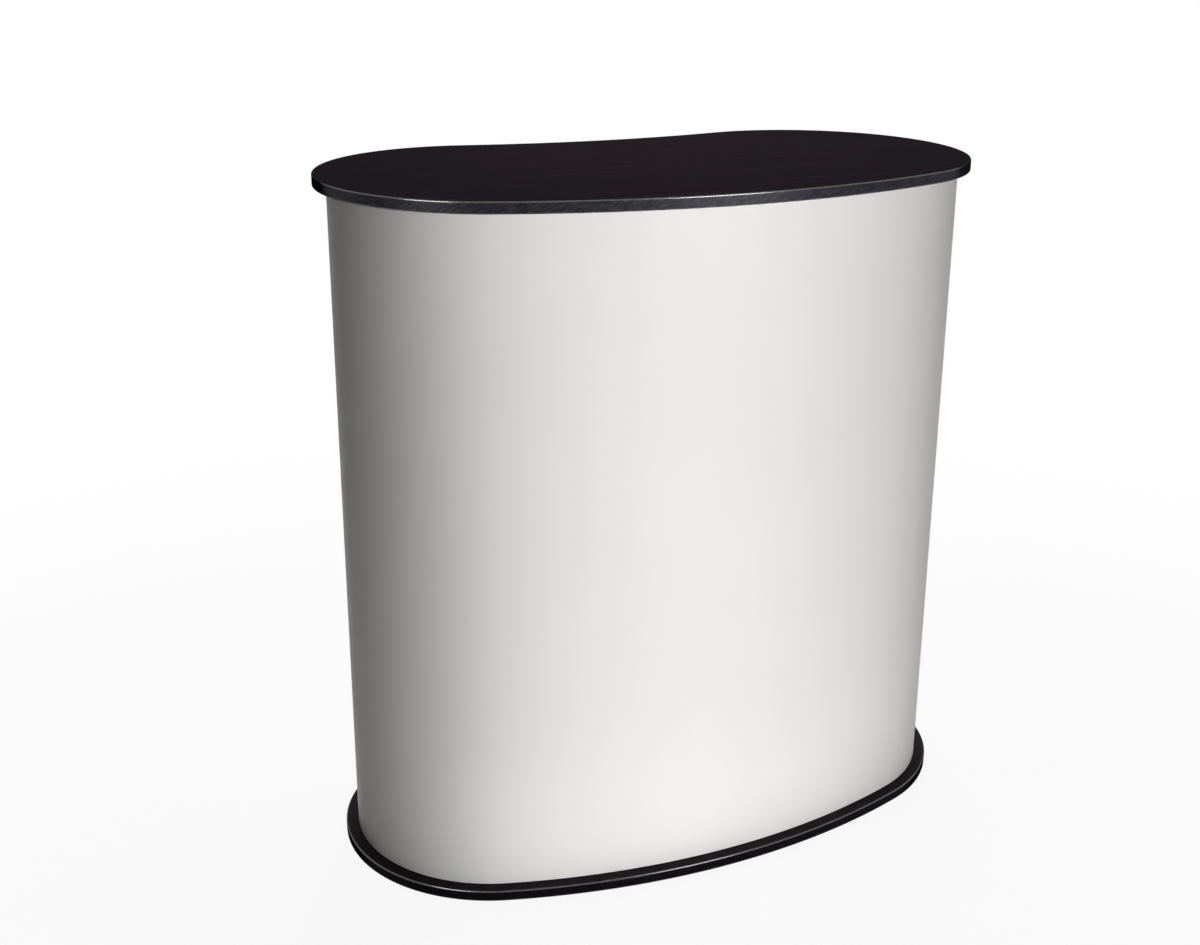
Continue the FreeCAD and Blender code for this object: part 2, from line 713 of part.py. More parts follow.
# Shelf on pegs in the jambs and collars round the posts
shelf_body = kidney("shelf_body", ("-dims.shelf_inset",), SHELF_LOW, "dims.shelf_level")
shelf_reach = rear(f"{JAMB_BACK} + dims.shelf_play")
shelf_back = cylinder("shelf_back", shelf_reach, "dims.counter_height", y=REAR_Y)
shelf_blank = cut("shelf_blank", shelf_body, shelf_back)
shelf_eased = rounded(
    "shelf_eased",
    shelf_blank,
    "dims.shelf_corner",
    lambda edge: isinstance(edge.Curve, Part.Line) and on_rear_arc(edge, shelf_reach),
)
post_hole = cylinder("post_hole", "dims.post_radius + dims.post_hole_play", "dims.shelf_thickness")
post_hole_form = group("post_hole_form", post_hole)
post_holes = copies("post_holes", post_hole_form, lifted(POST_SPOTS, SHELF_LOW))
keep("shelf_board", cut("shelf_drilled", shelf_eased, post_holes))

peg_level = f"({SHELF_LOW} - dims.peg_height / 2)"
peg_form = fuse(
    "peg_form",
    inward(
        "peg_pin",
        "dims.peg_radius",
        f"{JAMB_BACK} - dims.peg_depth",
        "dims.peg_depth + dims.join_overlap",
        peg_level,
    ),
    box(
        "peg_tongue",
        "dims.peg_width",
        "dims.peg_reach",
        "dims.peg_height",
        x="-dims.peg_width / 2",
        y=f"-{rear(JAMB_BACK)} - dims.peg_reach",
        z=f"{SHELF_LOW} - dims.peg_height",
    ),
)
peg_hole = group(
    "peg_hole",
    inward(
        "peg_bore",
        "dims.peg_radius + dims.fit_clearance",
        f"{JAMB_BACK} - dims.peg_depth - dims.fit_clearance",
        "dims.peg_depth + 2 * dims.bore_overrun",
        peg_level,
    ),
)


def peg_spots(side):
    """The two places of pegs along one jamb."""
    offsets = ("dims.peg_edge", "dims.peg_edge + dims.peg_spacing")
    return [{"y": REAR_Y, "turned": f"{side} * ({OPENING_TURN} + {turn(offset)})"} for offset in offsets]


keep("shelf_pegs", copies("peg_set", peg_form, peg_spots(-1) + peg_spots(1)))

collar_body = cut(
    "collar_body",
    cylinder("collar_disc", "dims.collar_radius", "dims.collar_height"),
    cylinder("collar_bore", "dims.post_radius + dims.fit_clearance", "dims.collar_height"),
)
collar_screw_start = "(dims.post_radius + dims.fit_clearance)"
collar_hole = cylinder(
    "collar_hole",
    "dims.collar_screw_radius + dims.fit_clearance",
    "dims.collar_radius",
    y="-dims.post_radius + dims.post_wall",
    z="dims.collar_height / 2",
    lean=INWARD,
)
collar_form = cut("collar_form", collar_body, collar_hole)
collar_screw_form = group(
    "collar_screw_form",
    cylinder(
        "collar_screw_bar",
        "dims.collar_screw_radius",
        f"dims.collar_radius - {collar_screw_start}",
        y=f"-{collar_screw_start}",
        z="dims.collar_height / 2",
        lean=INWARD,
    ),
)
collar_low = f"({SHELF_LOW} - dims.collar_height)"
keep("shelf_collars", copies("collar_set", collar_form, lifted(POST_SPOTS, collar_low)))
keep("collar_screws", copies("collar_screw_set", collar_screw_form, lifted(POST_SPOTS, collar_low)))

# Front posts, tubes with a threaded plug in each end
tube_length = f"{CEILING} - {FLOOR_TOP}"
tube_form = cut(
    "tube_form",
    cylinder("tube_outer", "dims.post_radius", tube_length),
    cylinder("tube_inner", "dims.post_radius - dims.post_wall", tube_length),
)
for side, spot in zip(("left", "right"), lifted(POST_SPOTS, FLOOR_TOP)):
    keep(f"{side}_post", copies(f"{side}_tube", tube_form, [spot]))
plug_form = group(
    "plug_form",
    cylinder("plug_bar", "dims.post_radius - dims.post_wall - dims.fit_clearance", "dims.plug_length"),
)
plug_spots = lifted(POST_SPOTS, FLOOR_TOP) + lifted(POST_SPOTS, f"{CEILING} - dims.plug_length")
plug_blanks = copies("plug_blanks", plug_form, plug_spots)
keep("post_plugs", cut("plugs_threaded", plug_blanks, low_bolt_holes, high_bolt_holes))

# Cam lock in the door, its cam hanging down when open, and the strike plate it turns behind
lock_face = "-(dims.seat_play + dims.flange_thickness)"
barrel_end = "(dims.door_thickness + dims.barrel_tail)"
barrel_length = f"({barrel_end} + dims.seat_play + dims.flange_thickness)"
housing_blank = fuse(
    "housing_blank",
    inward("housing_flange", "dims.flange_radius", lock_face, "dims.flange_thickness"),
    inward("housing_barrel", "dims.barrel_radius", lock_face, barrel_length),
)
bore_radius = "dims.lock_plug_radius + dims.running_clearance"
housing_bore = inward(
    "housing_bore",
    bore_radius,
    f"{lock_face} - dims.bore_overrun",
    f"{barrel_length} + 2 * dims.bore_overrun",
)
lock_housing = keep("lock_housing", cut("housing", housing_blank, housing_bore))
nut_blank = doc.addObject("Part::Prism", "lock_nut_blank")
nut_blank.Polygon = 6
bind(nut_blank, Circumradius="dims.lock_nut_radius", Height="dims.lock_nut_thickness")
place(nut_blank, y=f"-{rear('dims.door_thickness')}", lean=INWARD)
nut_bore = inward(
    "lock_nut_bore",
    "dims.barrel_radius + dims.fit_clearance",
    "dims.door_thickness - dims.bore_overrun",
    "dims.lock_nut_thickness + 2 * dims.bore_overrun",
)
lock_nut = keep("lock_nut", cut("nut", nut_blank, nut_bore))
plug_bar = inward(
    "lock_plug_bar",
    "dims.lock_plug_radius",
    lock_face,
    f"{CAM_FRONT} + dims.seat_play + dims.flange_thickness",
)
keyway = box(
    "keyway",
    "dims.keyway_width",
    "dims.keyway_depth + dims.bore_overrun",
    "dims.keyway_height",
    x="-dims.keyway_width / 2",
    y=f"-{rear(lock_face)} - dims.keyway_depth",
    z="-dims.keyway_height / 2",
)
cam_screw_start = f"({CAM_FRONT} - dims.cam_screw_bite)"
cam_screw_length = "(dims.cam_screw_bite + dims.cam_thickness)"
cam_screw_hole = inward(
    "cam_screw_hole",
    "dims.cam_screw_radius + dims.fit_clearance",
    f"{cam_screw_start} - dims.fit_clearance",
    f"{cam_screw_length} + dims.bore_overrun",
)
lock_plug = keep("lock_plug", cut("plug", plug_bar, keyway, cam_screw_hole))
tip_level = "-(dims.cam_reach - dims.cam_width / 2)"
cam_blank = fuse(
    "cam_blank",
    inward("cam_hub", "dims.cam_width / 2", CAM_FRONT, "dims.cam_thickness"),
    inward("cam_tip", "dims.cam_width / 2", CAM_FRONT, "dims.cam_thickness", tip_level),
    box(
        "cam_tongue",
        "dims.cam_width",
        "dims.cam_thickness",
        f"-{tip_level}",
        x="-dims.cam_width / 2",
        y=f"-{rear(CAM_FRONT)} - dims.cam_thickness",
        z=tip_level,
    ),
)
lock_cam = keep("lock_cam", cut("cam", cam_blank, cam_screw_hole))
cam_screw = fuse(
    "cam_screw_blank",
    inward(
        "cam_screw_bar",
        "dims.cam_screw_radius",
        cam_screw_start,
        f"{cam_screw_length} + dims.join_overlap",
    ),
    inward(
        "cam_screw_cap",
        "dims.cam_screw_head",
        f"{CAM_FRONT} + dims.cam_thickness",
        "dims.cam_screw_head_height",
    ),
)
keep("cam_screw", cam_screw)
for piece in (lock_housing, lock_nut, lock_plug, lock_cam, cam_screw):
    at_rear(piece, LOCK_TURN, "dims.lock_level")
lock_bore = group(
    "lock_bore",
    inward(
        "lock_bore_bar",
        "dims.barrel_radius + dims.fit_clearance",
        "-dims.bore_overrun",
        "dims.door_thickness + 2 * dims.bore_overrun",
    ),
)
at_rear(lock_bore, LOCK_TURN, "dims.lock_level")

strike_face = rear(f"{JAMB_BACK} + dims.strike_thickness")
strike_blank = box(
    "strike_blank",
    "dims.strike_width",
    "dims.strike_thickness",
    "dims.strike_height",
    x="-dims.strike_width / 2",
    y=f"-{strike_face}",
    z="-dims.strike_height / 2",
)
strike_spots = [
    {"y": f"-{strike_face}", "z": f"{side} * dims.strike_screw_spacing / 2"} for side in (-1, 1)
]
strike_screws, strike_holes = screws(
    "strike_screw",
    "dims.hinge_screw_radius",
    "dims.hinge_screw_head",
    "dims.strike_screw_length",
    strike_spots,
    INWARD,
)
strike_plate = keep("strike_plate", cut("strike", strike_blank, strike_holes))
keep("strike_screws", strike_screws)
strike_spot = {"y": REAR_Y, "z": "dims.lock_level", "turned": STRIKE_TURN}
strike_bores = copies("strike_bores", strike_holes, [strike_spot])
for piece in (strike_plate, strike_screws):
    at_rear(piece, STRIKE_TURN, "dims.lock_level")

# Jambs at the sides of the opening, shaped to the inside of the wrap
jamb_stock = kidney("jamb_stock", (f"-{BACKING}",), FLOOR_TOP, CEILING)
jamb_sweep = turn("dims.jamb_width")
lock_start = f"-({OPENING_TURN} + {jamb_sweep})"
hinge_side = sector("hinge_side", rear(JAMB_BACK), OPENING_TURN, jamb_sweep, FLOOR_TOP, CEILING)
lock_side = sector("lock_side", rear(JAMB_BACK), lock_start, jamb_sweep, FLOOR_TOP, CEILING)
hinge_jamb_blank = common("hinge_jamb_blank", jamb_stock, hinge_side)
lock_jamb_blank = common("lock_jamb_blank", jamb_stock, lock_side)
hinge_peg_holes = copies("hinge_peg_holes", peg_hole, peg_spots(1))
lock_peg_holes = copies("lock_peg_holes", peg_hole, peg_spots(-1))
hinge_jamb_holes = (hinge_holes["frame"], hinge_peg_holes, high_jamb_holes, low_jamb_holes)
lock_jamb_holes = (strike_bores, lock_peg_holes, high_jamb_holes, low_jamb_holes)
keep("hinge_jamb", cut("hinge_jamb_drilled", hinge_jamb_blank, *hinge_jamb_holes))
keep("lock_jamb", cut("lock_jamb_drilled", lock_jamb_blank, *lock_jamb_holes))

# Door panel, curved to the hollow of the rear, with its pull
door_sweep = f"2 * {DOOR_TURN}"
door_inside = rear("dims.door_thickness")
door_slab = sector("door_slab", door_inside, f"-{DOOR_TURN}", door_sweep, DOOR_LOW, DOOR_TOP)
door_hollow = cylinder("door_hollow", "dims.rear_radius", "dims.counter_height", y=REAR_Y)
door_blank = cut("door_blank", door_slab, door_hollow)
door_eased = rounded(
    "door_eased", door_blank, "dims.door_arris", lambda edge: on_rear_arc(edge, "dims.rear_radius")
)

pull_axis = f"({rear('-dims.pull_standoff')})"
pull_leg = "(dims.pull_standoff - dims.pull_bend)"
leg_length = f"{pull_leg} - dims.seat_play"
shank_length = "dims.door_thickness + dims.pull_screw_bite + dims.join_overlap"
cap_height = "dims.pull_screw_head_height"
pull_corner = f"-({pull_axis} + dims.pull_bend)"
pull_members = [
    cylinder(
        "pull_grip",
        "dims.pull_radius",
        "dims.pull_centres - 2 * dims.pull_bend",
        y=f"-{pull_axis}",
        z="dims.pull_bend - dims.pull_centres / 2",
    )
]
pull_screw_members = []
pull_hole_members = []
UPPER_BEND = FreeCAD.Rotation(FreeCAD.Vector(1, 1, 1), 120)
for name, side, lean in (("upper", 1, UPPER_BEND), ("lower", -1, PLUS_X)):
    level = f"{side} * dims.pull_centres / 2"
    bend = doc.addObject("Part::Torus", f"pull_{name}_bend")
    bend.Angle3 = 90
    bind(bend, Radius1="dims.pull_bend", Radius2="dims.pull_radius")
    place(bend, y=pull_corner, z=f"{side} * (dims.pull_centres / 2 - dims.pull_bend)", lean=lean)
    leg = inward(f"pull_{name}_leg", "dims.pull_radius", f"-{pull_leg}", leg_length, level)
    pull_members += [bend, leg]
    shank = inward(f"{name}_shank", "dims.pull_screw_radius", "-dims.pull_screw_bite", shank_length, level)
    cap = inward(f"{name}_cap", "dims.pull_screw_head", "dims.door_thickness", cap_height, level)
    pull_screw_members.append(fuse(f"pull_{name}_screw", shank, cap))
    pull_hole_members.append(
        inward(
            f"pull_{name}_hole",
            "dims.pull_screw_radius + dims.fit_clearance",
            "-dims.pull_screw_bite - dims.fit_clearance",
            shank_length,
            level,
        )
    )
pull_holes = group("pull_holes", *pull_hole_members)
pull_spot = [{"y": REAR_Y, "z": "dims.pull_level", "turned": PULL_TURN}]
door_pull = keep("door_pull", cut("pull_drilled", fuse("pull_blank", *pull_members), pull_holes))
pull_screws = keep("pull_screws", group("pull_screw_set", *pull_screw_members))
for piece in (door_pull, pull_screws):
    at_rear(piece, PULL_TURN, "dims.pull_level")
pull_bores = copies("pull_bores", pull_holes, pull_spot)
keep("door_panel", cut("door_drilled", door_eased, hinge_holes["door"], lock_bore, pull_bores))

# Bumpers on the edges of the formers
bumper_face = "dims.door_thickness + dims.bumper_play"
bumper_disc = inward("bumper_disc", "dims.bumper_radius", bumper_face, "dims.bumper_thickness")
bumper_form = group("bumper_form", bumper_disc)
bumper_spots = [
    {
        "y": REAR_Y,
        "z": f"{low} + dims.former_thickness / 2",
        "turned": f"{side} * ({DOOR_TURN} - {turn('dims.bumper_edge')})",
    }
    for low in (BASE_TOP, CEILING)
    for side in (-1, 1)
]
keep("door_bumpers", copies("bumper_set", bumper_form, bumper_spots))

doc.recompute()
faults = [piece.Name for piece in doc.Objects if {"Invalid", "Error"} & set(piece.State)]
faults += [name for name, piece in nodes.items() if piece.Shape.isNull() or not piece.Shape.isValid()]
if faults:
    raise RuntimeError("not built: " + ", ".join(faults))
os.makedirs("parts", exist_ok=True)
for name, piece in nodes.items():
    piece.Shape.exportStep(f"parts/{name}.step")
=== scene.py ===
"""Promotional counter, kidney-shaped in plan: finishes, detail meshes, studio and viewpoint.

Lengths are in metres. The floor is z = 0, the front faces -Y and the door fills the hollow rear.
"""

import json
import logging
import math
from dataclasses import dataclass, field, replace
from enum import Enum

import bmesh
import bpy
import numpy as np
from mathutils import Matrix, Vector


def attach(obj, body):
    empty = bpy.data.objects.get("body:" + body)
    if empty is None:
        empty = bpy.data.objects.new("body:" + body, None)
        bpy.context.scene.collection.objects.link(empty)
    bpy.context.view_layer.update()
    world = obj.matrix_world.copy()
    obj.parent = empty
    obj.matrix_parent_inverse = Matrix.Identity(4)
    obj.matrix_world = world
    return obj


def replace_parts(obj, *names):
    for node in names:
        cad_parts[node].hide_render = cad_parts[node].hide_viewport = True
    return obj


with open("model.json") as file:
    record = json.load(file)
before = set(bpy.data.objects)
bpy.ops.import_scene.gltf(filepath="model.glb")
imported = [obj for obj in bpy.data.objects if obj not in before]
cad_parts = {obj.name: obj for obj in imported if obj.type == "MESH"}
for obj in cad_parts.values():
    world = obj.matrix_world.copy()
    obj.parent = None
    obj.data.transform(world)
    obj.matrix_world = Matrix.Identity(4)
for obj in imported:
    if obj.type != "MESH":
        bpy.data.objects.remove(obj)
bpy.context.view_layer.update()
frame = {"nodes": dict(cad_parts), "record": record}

LOG = logging.getLogger("counter")
SHARP_TURN = math.radians(40)
WELD_DIGITS = 6
Band = tuple[float, float]
FULL: Band = (0.0, 1.0)
MIDDLE: Band = (0.3, 0.7)
Layers = tuple[float, float]
EVEN: Layers = (3.0, 0.5)
Colour = tuple[float, float, float]
WHITE: Colour = (1.0, 1.0, 1.0)
Section = list[tuple[float, float]]
Socket = bpy.types.NodeSocket


class Run(Enum):
    """Ways that a finish's figure runs over a piece."""

    ALONG = "along the counter"
    ROUND_EDGE = "round a board's edge"


class Drive(Enum):
    """Recesses in the heads of screws."""

    CROSS = "cross"
    HEX = "hexagon"


class Tree:
    """Shader of one material, put together node by node."""

    def __init__(self, name: str) -> None:
        """Starts a material with its shader and output joined.

        Args:
            name: Name of the material.
        """
        self.material = bpy.data.materials.new(name)
        self.material.use_nodes = True
        self.tree = self.material.node_tree
        self.tree.nodes.clear()
        self.shader = self.add("ShaderNodeBsdfPrincipled")
        output = self.add("ShaderNodeOutputMaterial")
        self.tree.links.new(self.shader.outputs["BSDF"], output.inputs["Surface"])

    def add(self, kind: str, inputs: dict | None = None, **settings: object) -> bpy.types.Node:
        """Adds a node.

        Args:
            kind: Blender's name for the node.
            inputs: Values or sockets for its inputs, by name or index.
            settings: Properties of the node itself.

        Returns:
            The node.
        """
        node = self.tree.nodes.new(kind)
        for name, value in settings.items():
            setattr(node, name, value)
        for key, value in (inputs or {}).items():
            self.feed(node.inputs[key], value)
        return node

    def feed(self, target: Socket, value: object) -> None:
        """Links a socket to another, or sets its own value.

        Args:
            target: Input to feed.
            value: A socket, a number, a vector or a colour of three.
        """
        if isinstance(value, bpy.types.NodeSocket):
            self.tree.links.new(value, target)
        elif target.type == "RGBA":
            target.default_value = (*value, 1.0)
        else:
            target.default_value = value

    def surface(self, inputs: dict) -> None:
        """Feeds the shader's own sockets.

        Args:
            inputs: Values or sockets by the sockets' names.
        """
        for name, value in inputs.items():
            self.feed(self.shader.inputs[name], value)

    def place(self, scale: tuple[float, float, float] = (1.0, 1.0, 1.0), by_edge: bool = False) -> Socket:
        """Position on the piece, in metres or stretched.

        Args:
            scale: Factor along each axis.
            by_edge: Whether to measure along a board's edge and not in space.

        Returns:
            The stretched position.
        """
        source = self.add("ShaderNodeTexCoord").outputs["UV" if by_edge else "Object"]
        return self.add("ShaderNodeMapping", {"Vector": source, "Scale": scale}).outputs[0]

    def noise(self, where: Socket, scale: float, layers: Layers = EVEN) -> Socket:
        """Cloudy value round one half.

        Args:
            where: Position.
            scale: Clouds per metre of the position.
            layers: Number of finer layers on top, and their strength.

        Returns:
            The value.
        """
        inputs = {"Vector": where, "Scale": scale, "Detail": layers[0], "Roughness": layers[1]}
        return self.add("ShaderNodeTexNoise", inputs).outputs[0]

    def ramp(self, value: Socket, band: Band, to: Band = FULL) -> Socket:
        """A value spread smoothly from one range to another.

        Args:
            value: Value to spread.
            band: Start and end of its range.
            to: Start and end of the new range.

        Returns:
            The spread value.
        """
        inputs = {"Value": value, 1: band[0], 2: band[1], 3: to[0], 4: to[1]}
        return self.add("ShaderNodeMapRange", inputs, interpolation_type="SMOOTHSTEP").outputs[0]

    def combine(self, first: Socket, second: Socket | float, operation: str) -> Socket:
        """Two values put together.

        Args:
            first: One value.
            second: The other.
            operation: Blender's name for the operation.

        Returns:
            The outcome.
        """
        return self.add("ShaderNodeMath", {0: first, 1: second}, operation=operation).outputs[0]

    def blend(self, share: Socket, first: Colour | Socket, second: Colour | Socket) -> Socket:
        """A colour between two.

        Args:
            share: Share of the second.
            first: Colour at 0.
            second: Colour at 1.

        Returns:
            The colour.
        """
        return self.add("ShaderNodeMix", {0: share, 6: first, 7: second}, data_type="RGBA").outputs[2]

    def relief(self, height: Socket, depth: float) -> Socket:
        """Surface direction over a relief.

        Args:
            height: Height from 0 to 1.
            depth: Metres that a height of 1 stands for.

        Returns:
            The direction.
        """
        return self.add("ShaderNodeBump", {"Height": height, "Distance": depth, "Strength": 1.0}).outputs[0]


@dataclass(frozen=True)
class Finish:
    """A finish, made once into a material."""

    name: str

    def dress(self, tree: Tree) -> None:
        """Lays the finish into a material's shader."""
        raise NotImplementedError

    def material(self) -> bpy.types.Material:
        """Makes the material, or finds it where it is made already.

        Returns:
            The material.
        """
        made = bpy.data.materials.get(self.name)
        if made is None:
            tree = Tree(self.name)
            self.dress(tree)
            made = tree.material
        return made


@dataclass(frozen=True)
class BlackAsh(Finish):
    """Black laminate printed and pressed with open ash grain."""

    run: Run
    dark: Colour
    pale: Colour
    # Colour of dust motes, and of the pale rub that paints a highlight line on the arris.
    mote_and_highlight: Colour
    gloss: float
    roughness: Band
    figure_pitch: float = 0.009
    figure_band: Band = (0.42, 0.72)
    figure_share: float = 0.7
    pore_pitch: float = 0.0011
    pore_band: Band = (0.50, 0.66)
    pore_depth: float = 0.00007
    stretch: float = 34.0
    slant: float = 0.0
    motes_per_metre: float = 75.0
    mote_band: Band = (0.045, 0.02)
    dusty_spots: float = 9.0
    dusty_band: Band = (0.50, 0.62)
    rub_and_painted_highlight: Band | None = None
    rub_highlight_spots: float = 120.0
    dull_glance: Band | None = None
    figure_layers: Layers = (5.0, 0.62)
    pore_layers: Layers = (2.0, 0.7)
    dusty_layers: Layers = (1.0, 0.5)
    rub_highlight_layers: Layers = (4.0, 0.5)

    def grain(self, tree: Tree, pitch: float) -> Socket:
        """Position measured in grain widths, drawn out along the grain.

        Args:
            tree: Material in the making.
            pitch: Width of one grain line.

        Returns:
            The position.
        """
        across, along = 1 / pitch, 1 / (pitch * self.stretch)
        if self.run is Run.ALONG:
            return tree.place((along, across, across))
        source = tree.add("ShaderNodeTexCoord").outputs["UV"]
        slanted = tree.add("ShaderNodeMapping", {"Vector": source, "Rotation": (0.0, 0.0, self.slant)}).outputs[0]
        return tree.add("ShaderNodeMapping", {"Vector": slanted, "Scale": (along, across, 1.0)}).outputs[0]

    def dress(self, tree: Tree) -> None:
        """Lays grain figure, pores, motes of dust, a pale rub that is partly wear and partly a painted highlight, and
        sheen into the shader.

        Args:
            tree: Material in the making.
        """
        figure = tree.noise(self.grain(tree, self.figure_pitch), 1.0, self.figure_layers)
        pores = tree.noise(self.grain(tree, self.pore_pitch), 1.0, self.pore_layers)
        pale_lines = tree.combine(tree.ramp(figure, self.figure_band), self.figure_share, "MULTIPLY")
        open_pores = tree.combine(tree.ramp(pores, self.pore_band), 1 - self.figure_share, "MULTIPLY")
        lines = tree.combine(pale_lines, open_pores, "ADD")
        near = tree.place(by_edge=self.run is Run.ROUND_EDGE)
        cells = tree.add("ShaderNodeTexVoronoi", {"Vector": near, "Scale": self.motes_per_metre}).outputs["Distance"]
        dusty = tree.ramp(tree.noise(near, self.dusty_spots, self.dusty_layers), self.dusty_band)
        motes = tree.combine(tree.ramp(cells, self.mote_band), dusty, "MULTIPLY")
        colour = tree.blend(motes, tree.blend(lines, self.dark, self.pale), self.mote_and_highlight)
        # Pale rub of the mote colour: partly wear, partly a painted highlight line along the edge.
        if self.rub_and_painted_highlight:
            worn_and_highlighted = tree.ramp(tree.noise(near, self.rub_highlight_spots, self.rub_highlight_layers), MIDDLE, self.rub_and_painted_highlight)
            colour = tree.blend(worn_and_highlighted, colour, self.mote_and_highlight)
        sheen: Socket | float = self.gloss
        if self.dull_glance:
            glance = tree.add("ShaderNodeLayerWeight").outputs["Facing"]
            sheen = tree.ramp(glance, self.dull_glance, (self.gloss, 0.0))
        tree.surface(
            {
                "Base Color": colour,
                "Roughness": tree.ramp(figure, MIDDLE, self.roughness),
                "Specular IOR Level": sheen,
                "Normal": tree.relief(lines, self.pore_depth),
            }
        )


@dataclass(frozen=True)
class SatinSheet(Finish):
    """Smooth white sheet with a faint mottle and the finest orange-peel."""

    colour: Colour
    mottle: Colour
    roughness: Band
    gloss: float = 0.5
    mottle_spots: float = 5.0
    sheen_spots: float = 38.0
    peel_pitch: float = 0.0016
    peel_depth: float = 0.000012
    mottle_layers: Layers = (4.0, 0.5)
    sheen_layers: Layers = (5.0, 0.6)
    peel_layers: Layers = (1.0, 0.5)

    def dress(self, tree: Tree) -> None:
        """Lays mottle, uneven sheen and orange-peel into the shader.

        Args:
            tree: Material in the making.
        """
        near = tree.place()
        clouds = tree.ramp(tree.noise(near, self.mottle_spots, self.mottle_layers), MIDDLE)
        sheen = tree.noise(near, self.sheen_spots, self.sheen_layers)
        peel = tree.noise(near, 1 / self.peel_pitch, self.peel_layers)
        tree.surface(
            {
                "Base Color": tree.blend(clouds, self.colour, self.mottle),
                "Roughness": tree.ramp(sheen, MIDDLE, self.roughness),
                "Specular IOR Level": self.gloss,
                "Normal": tree.relief(peel, self.peel_depth),
            }
        )


@dataclass(frozen=True)
class Fibreboard(Finish):
    """Through-dyed fibreboard, matt, with pressed fibres."""

    dark: Colour
    pale: Colour
    roughness: Band = (0.62, 0.8)
    gloss: float = 0.3
    fibres: tuple[float, float, float] = (900.0, 260.0, 900.0)
    fibre_band: Band = (0.45, 0.7)
    fibre_depth: float = 0.00004
    fibre_layers: Layers = (4.0, 0.7)
    patches: float = 22.0

    def dress(self, tree: Tree) -> None:
        """Lays fibres and their relief into the shader.

        Args:
            tree: Material in the making.
        """
        fibres = tree.noise(tree.place(self.fibres), 1.0, self.fibre_layers)
        patches = tree.noise(tree.place(), self.patches)
        fleck = tree.combine(tree.ramp(fibres, self.fibre_band), tree.ramp(patches, MIDDLE), "MULTIPLY")
        tree.surface(
            {
                "Base Color": tree.blend(fleck, self.dark, self.pale),
                "Roughness": tree.ramp(patches, MIDDLE, self.roughness),
                "Specular IOR Level": self.gloss,
                "Normal": tree.relief(fibres, self.fibre_depth),
            }
        )


@dataclass(frozen=True)
class DrawnMetal(Finish):
    """Metal with fine upright lines and faint smears."""

    colour: Colour
    smear: Colour
    roughness: Band
    line_pitch: float = 0.0003
    line_depth: float = 0.000006
    stretch: float = 60.0
    smears: float = 55.0
    smear_band: Band = (0.4, 0.75)
    sheen_band: Band = (0.3, 1.5)
    line_layers: Layers = (3.0, 0.6)
    smear_layers: Layers = (4.0, 0.6)

    def dress(self, tree: Tree) -> None:
        """Lays drawn lines and smears into the shader.

        Args:
            tree: Material in the making.
        """
        across, along = 1 / self.line_pitch, 1 / (self.line_pitch * self.stretch)
        lines = tree.noise(tree.place((across, across, along)), 1.0, self.line_layers)
        smears = tree.ramp(tree.noise(tree.place(), self.smears, self.smear_layers), self.smear_band)
        tree.surface(
            {
                "Base Color": tree.blend(smears, self.colour, self.smear),
                "Metallic": 1.0,
                "Roughness": tree.ramp(tree.combine(lines, smears, "ADD"), self.sheen_band, self.roughness),
                "Normal": tree.relief(lines, self.line_depth),
            }
        )


@dataclass(frozen=True)
class WovenTape(Finish):
    """Black woven tape with a pile of hooks or loops."""

    dark: Colour
    pale: Colour
    roughness: Band = (0.85, 0.98)
    rib_pitch: float = 0.0014
    pile_band: Band = (0.1, 0.7)
    pile_depth: float = 0.0004
    clumps: float = 160.0
    sheen: float = 0.35

    def dress(self, tree: Tree) -> None:
        """Lays pile, clumps and soft sheen into the shader.

        Args:
            tree: Material in the making.
        """
        near = tree.place()
        pile = tree.add("ShaderNodeTexVoronoi", {"Vector": near, "Scale": 1 / self.rib_pitch}).outputs["Distance"]
        clumps = tree.noise(near, self.clumps)
        share = tree.combine(tree.ramp(pile, self.pile_band), tree.ramp(clumps, MIDDLE), "MULTIPLY")
        tree.surface(
            {
                "Base Color": tree.blend(share, self.dark, self.pale),
                "Roughness": tree.ramp(clumps, MIDDLE, self.roughness),
                "Sheen Weight": self.sheen,
                "Normal": tree.relief(pile, self.pile_depth),
            }
        )


@dataclass(frozen=True)
class MouldedPlastic(Finish):
    """Moulded plastic or rubber with a spark-eroded face."""

    colour: Colour
    scuff: Colour
    roughness: Band
    clear: float = 0.0
    grit: float = 1900.0
    grit_depth: float = 0.000024
    scuffs: tuple[float, float, float] = (40.0, 400.0, 40.0)
    scuff_band: Band = (0.55, 0.8)
    grit_layers: Layers = (2.0, 0.5)
    scuff_layers: Layers = (5.0, 0.7)

    def dress(self, tree: Tree) -> None:
        """Lays the eroded face and scuffs into the shader.

        Args:
            tree: Material in the making.
        """
        grit = tree.noise(tree.place(), self.grit, self.grit_layers)
        scuffs = tree.ramp(tree.noise(tree.place(self.scuffs), 1.0, self.scuff_layers), self.scuff_band)
        tree.surface(
            {
                "Base Color": tree.blend(scuffs, self.colour, self.scuff),
                "Roughness": tree.ramp(scuffs, FULL, self.roughness),
                "Transmission Weight": self.clear,
                "Normal": tree.relief(grit, self.grit_depth),
            }
        )


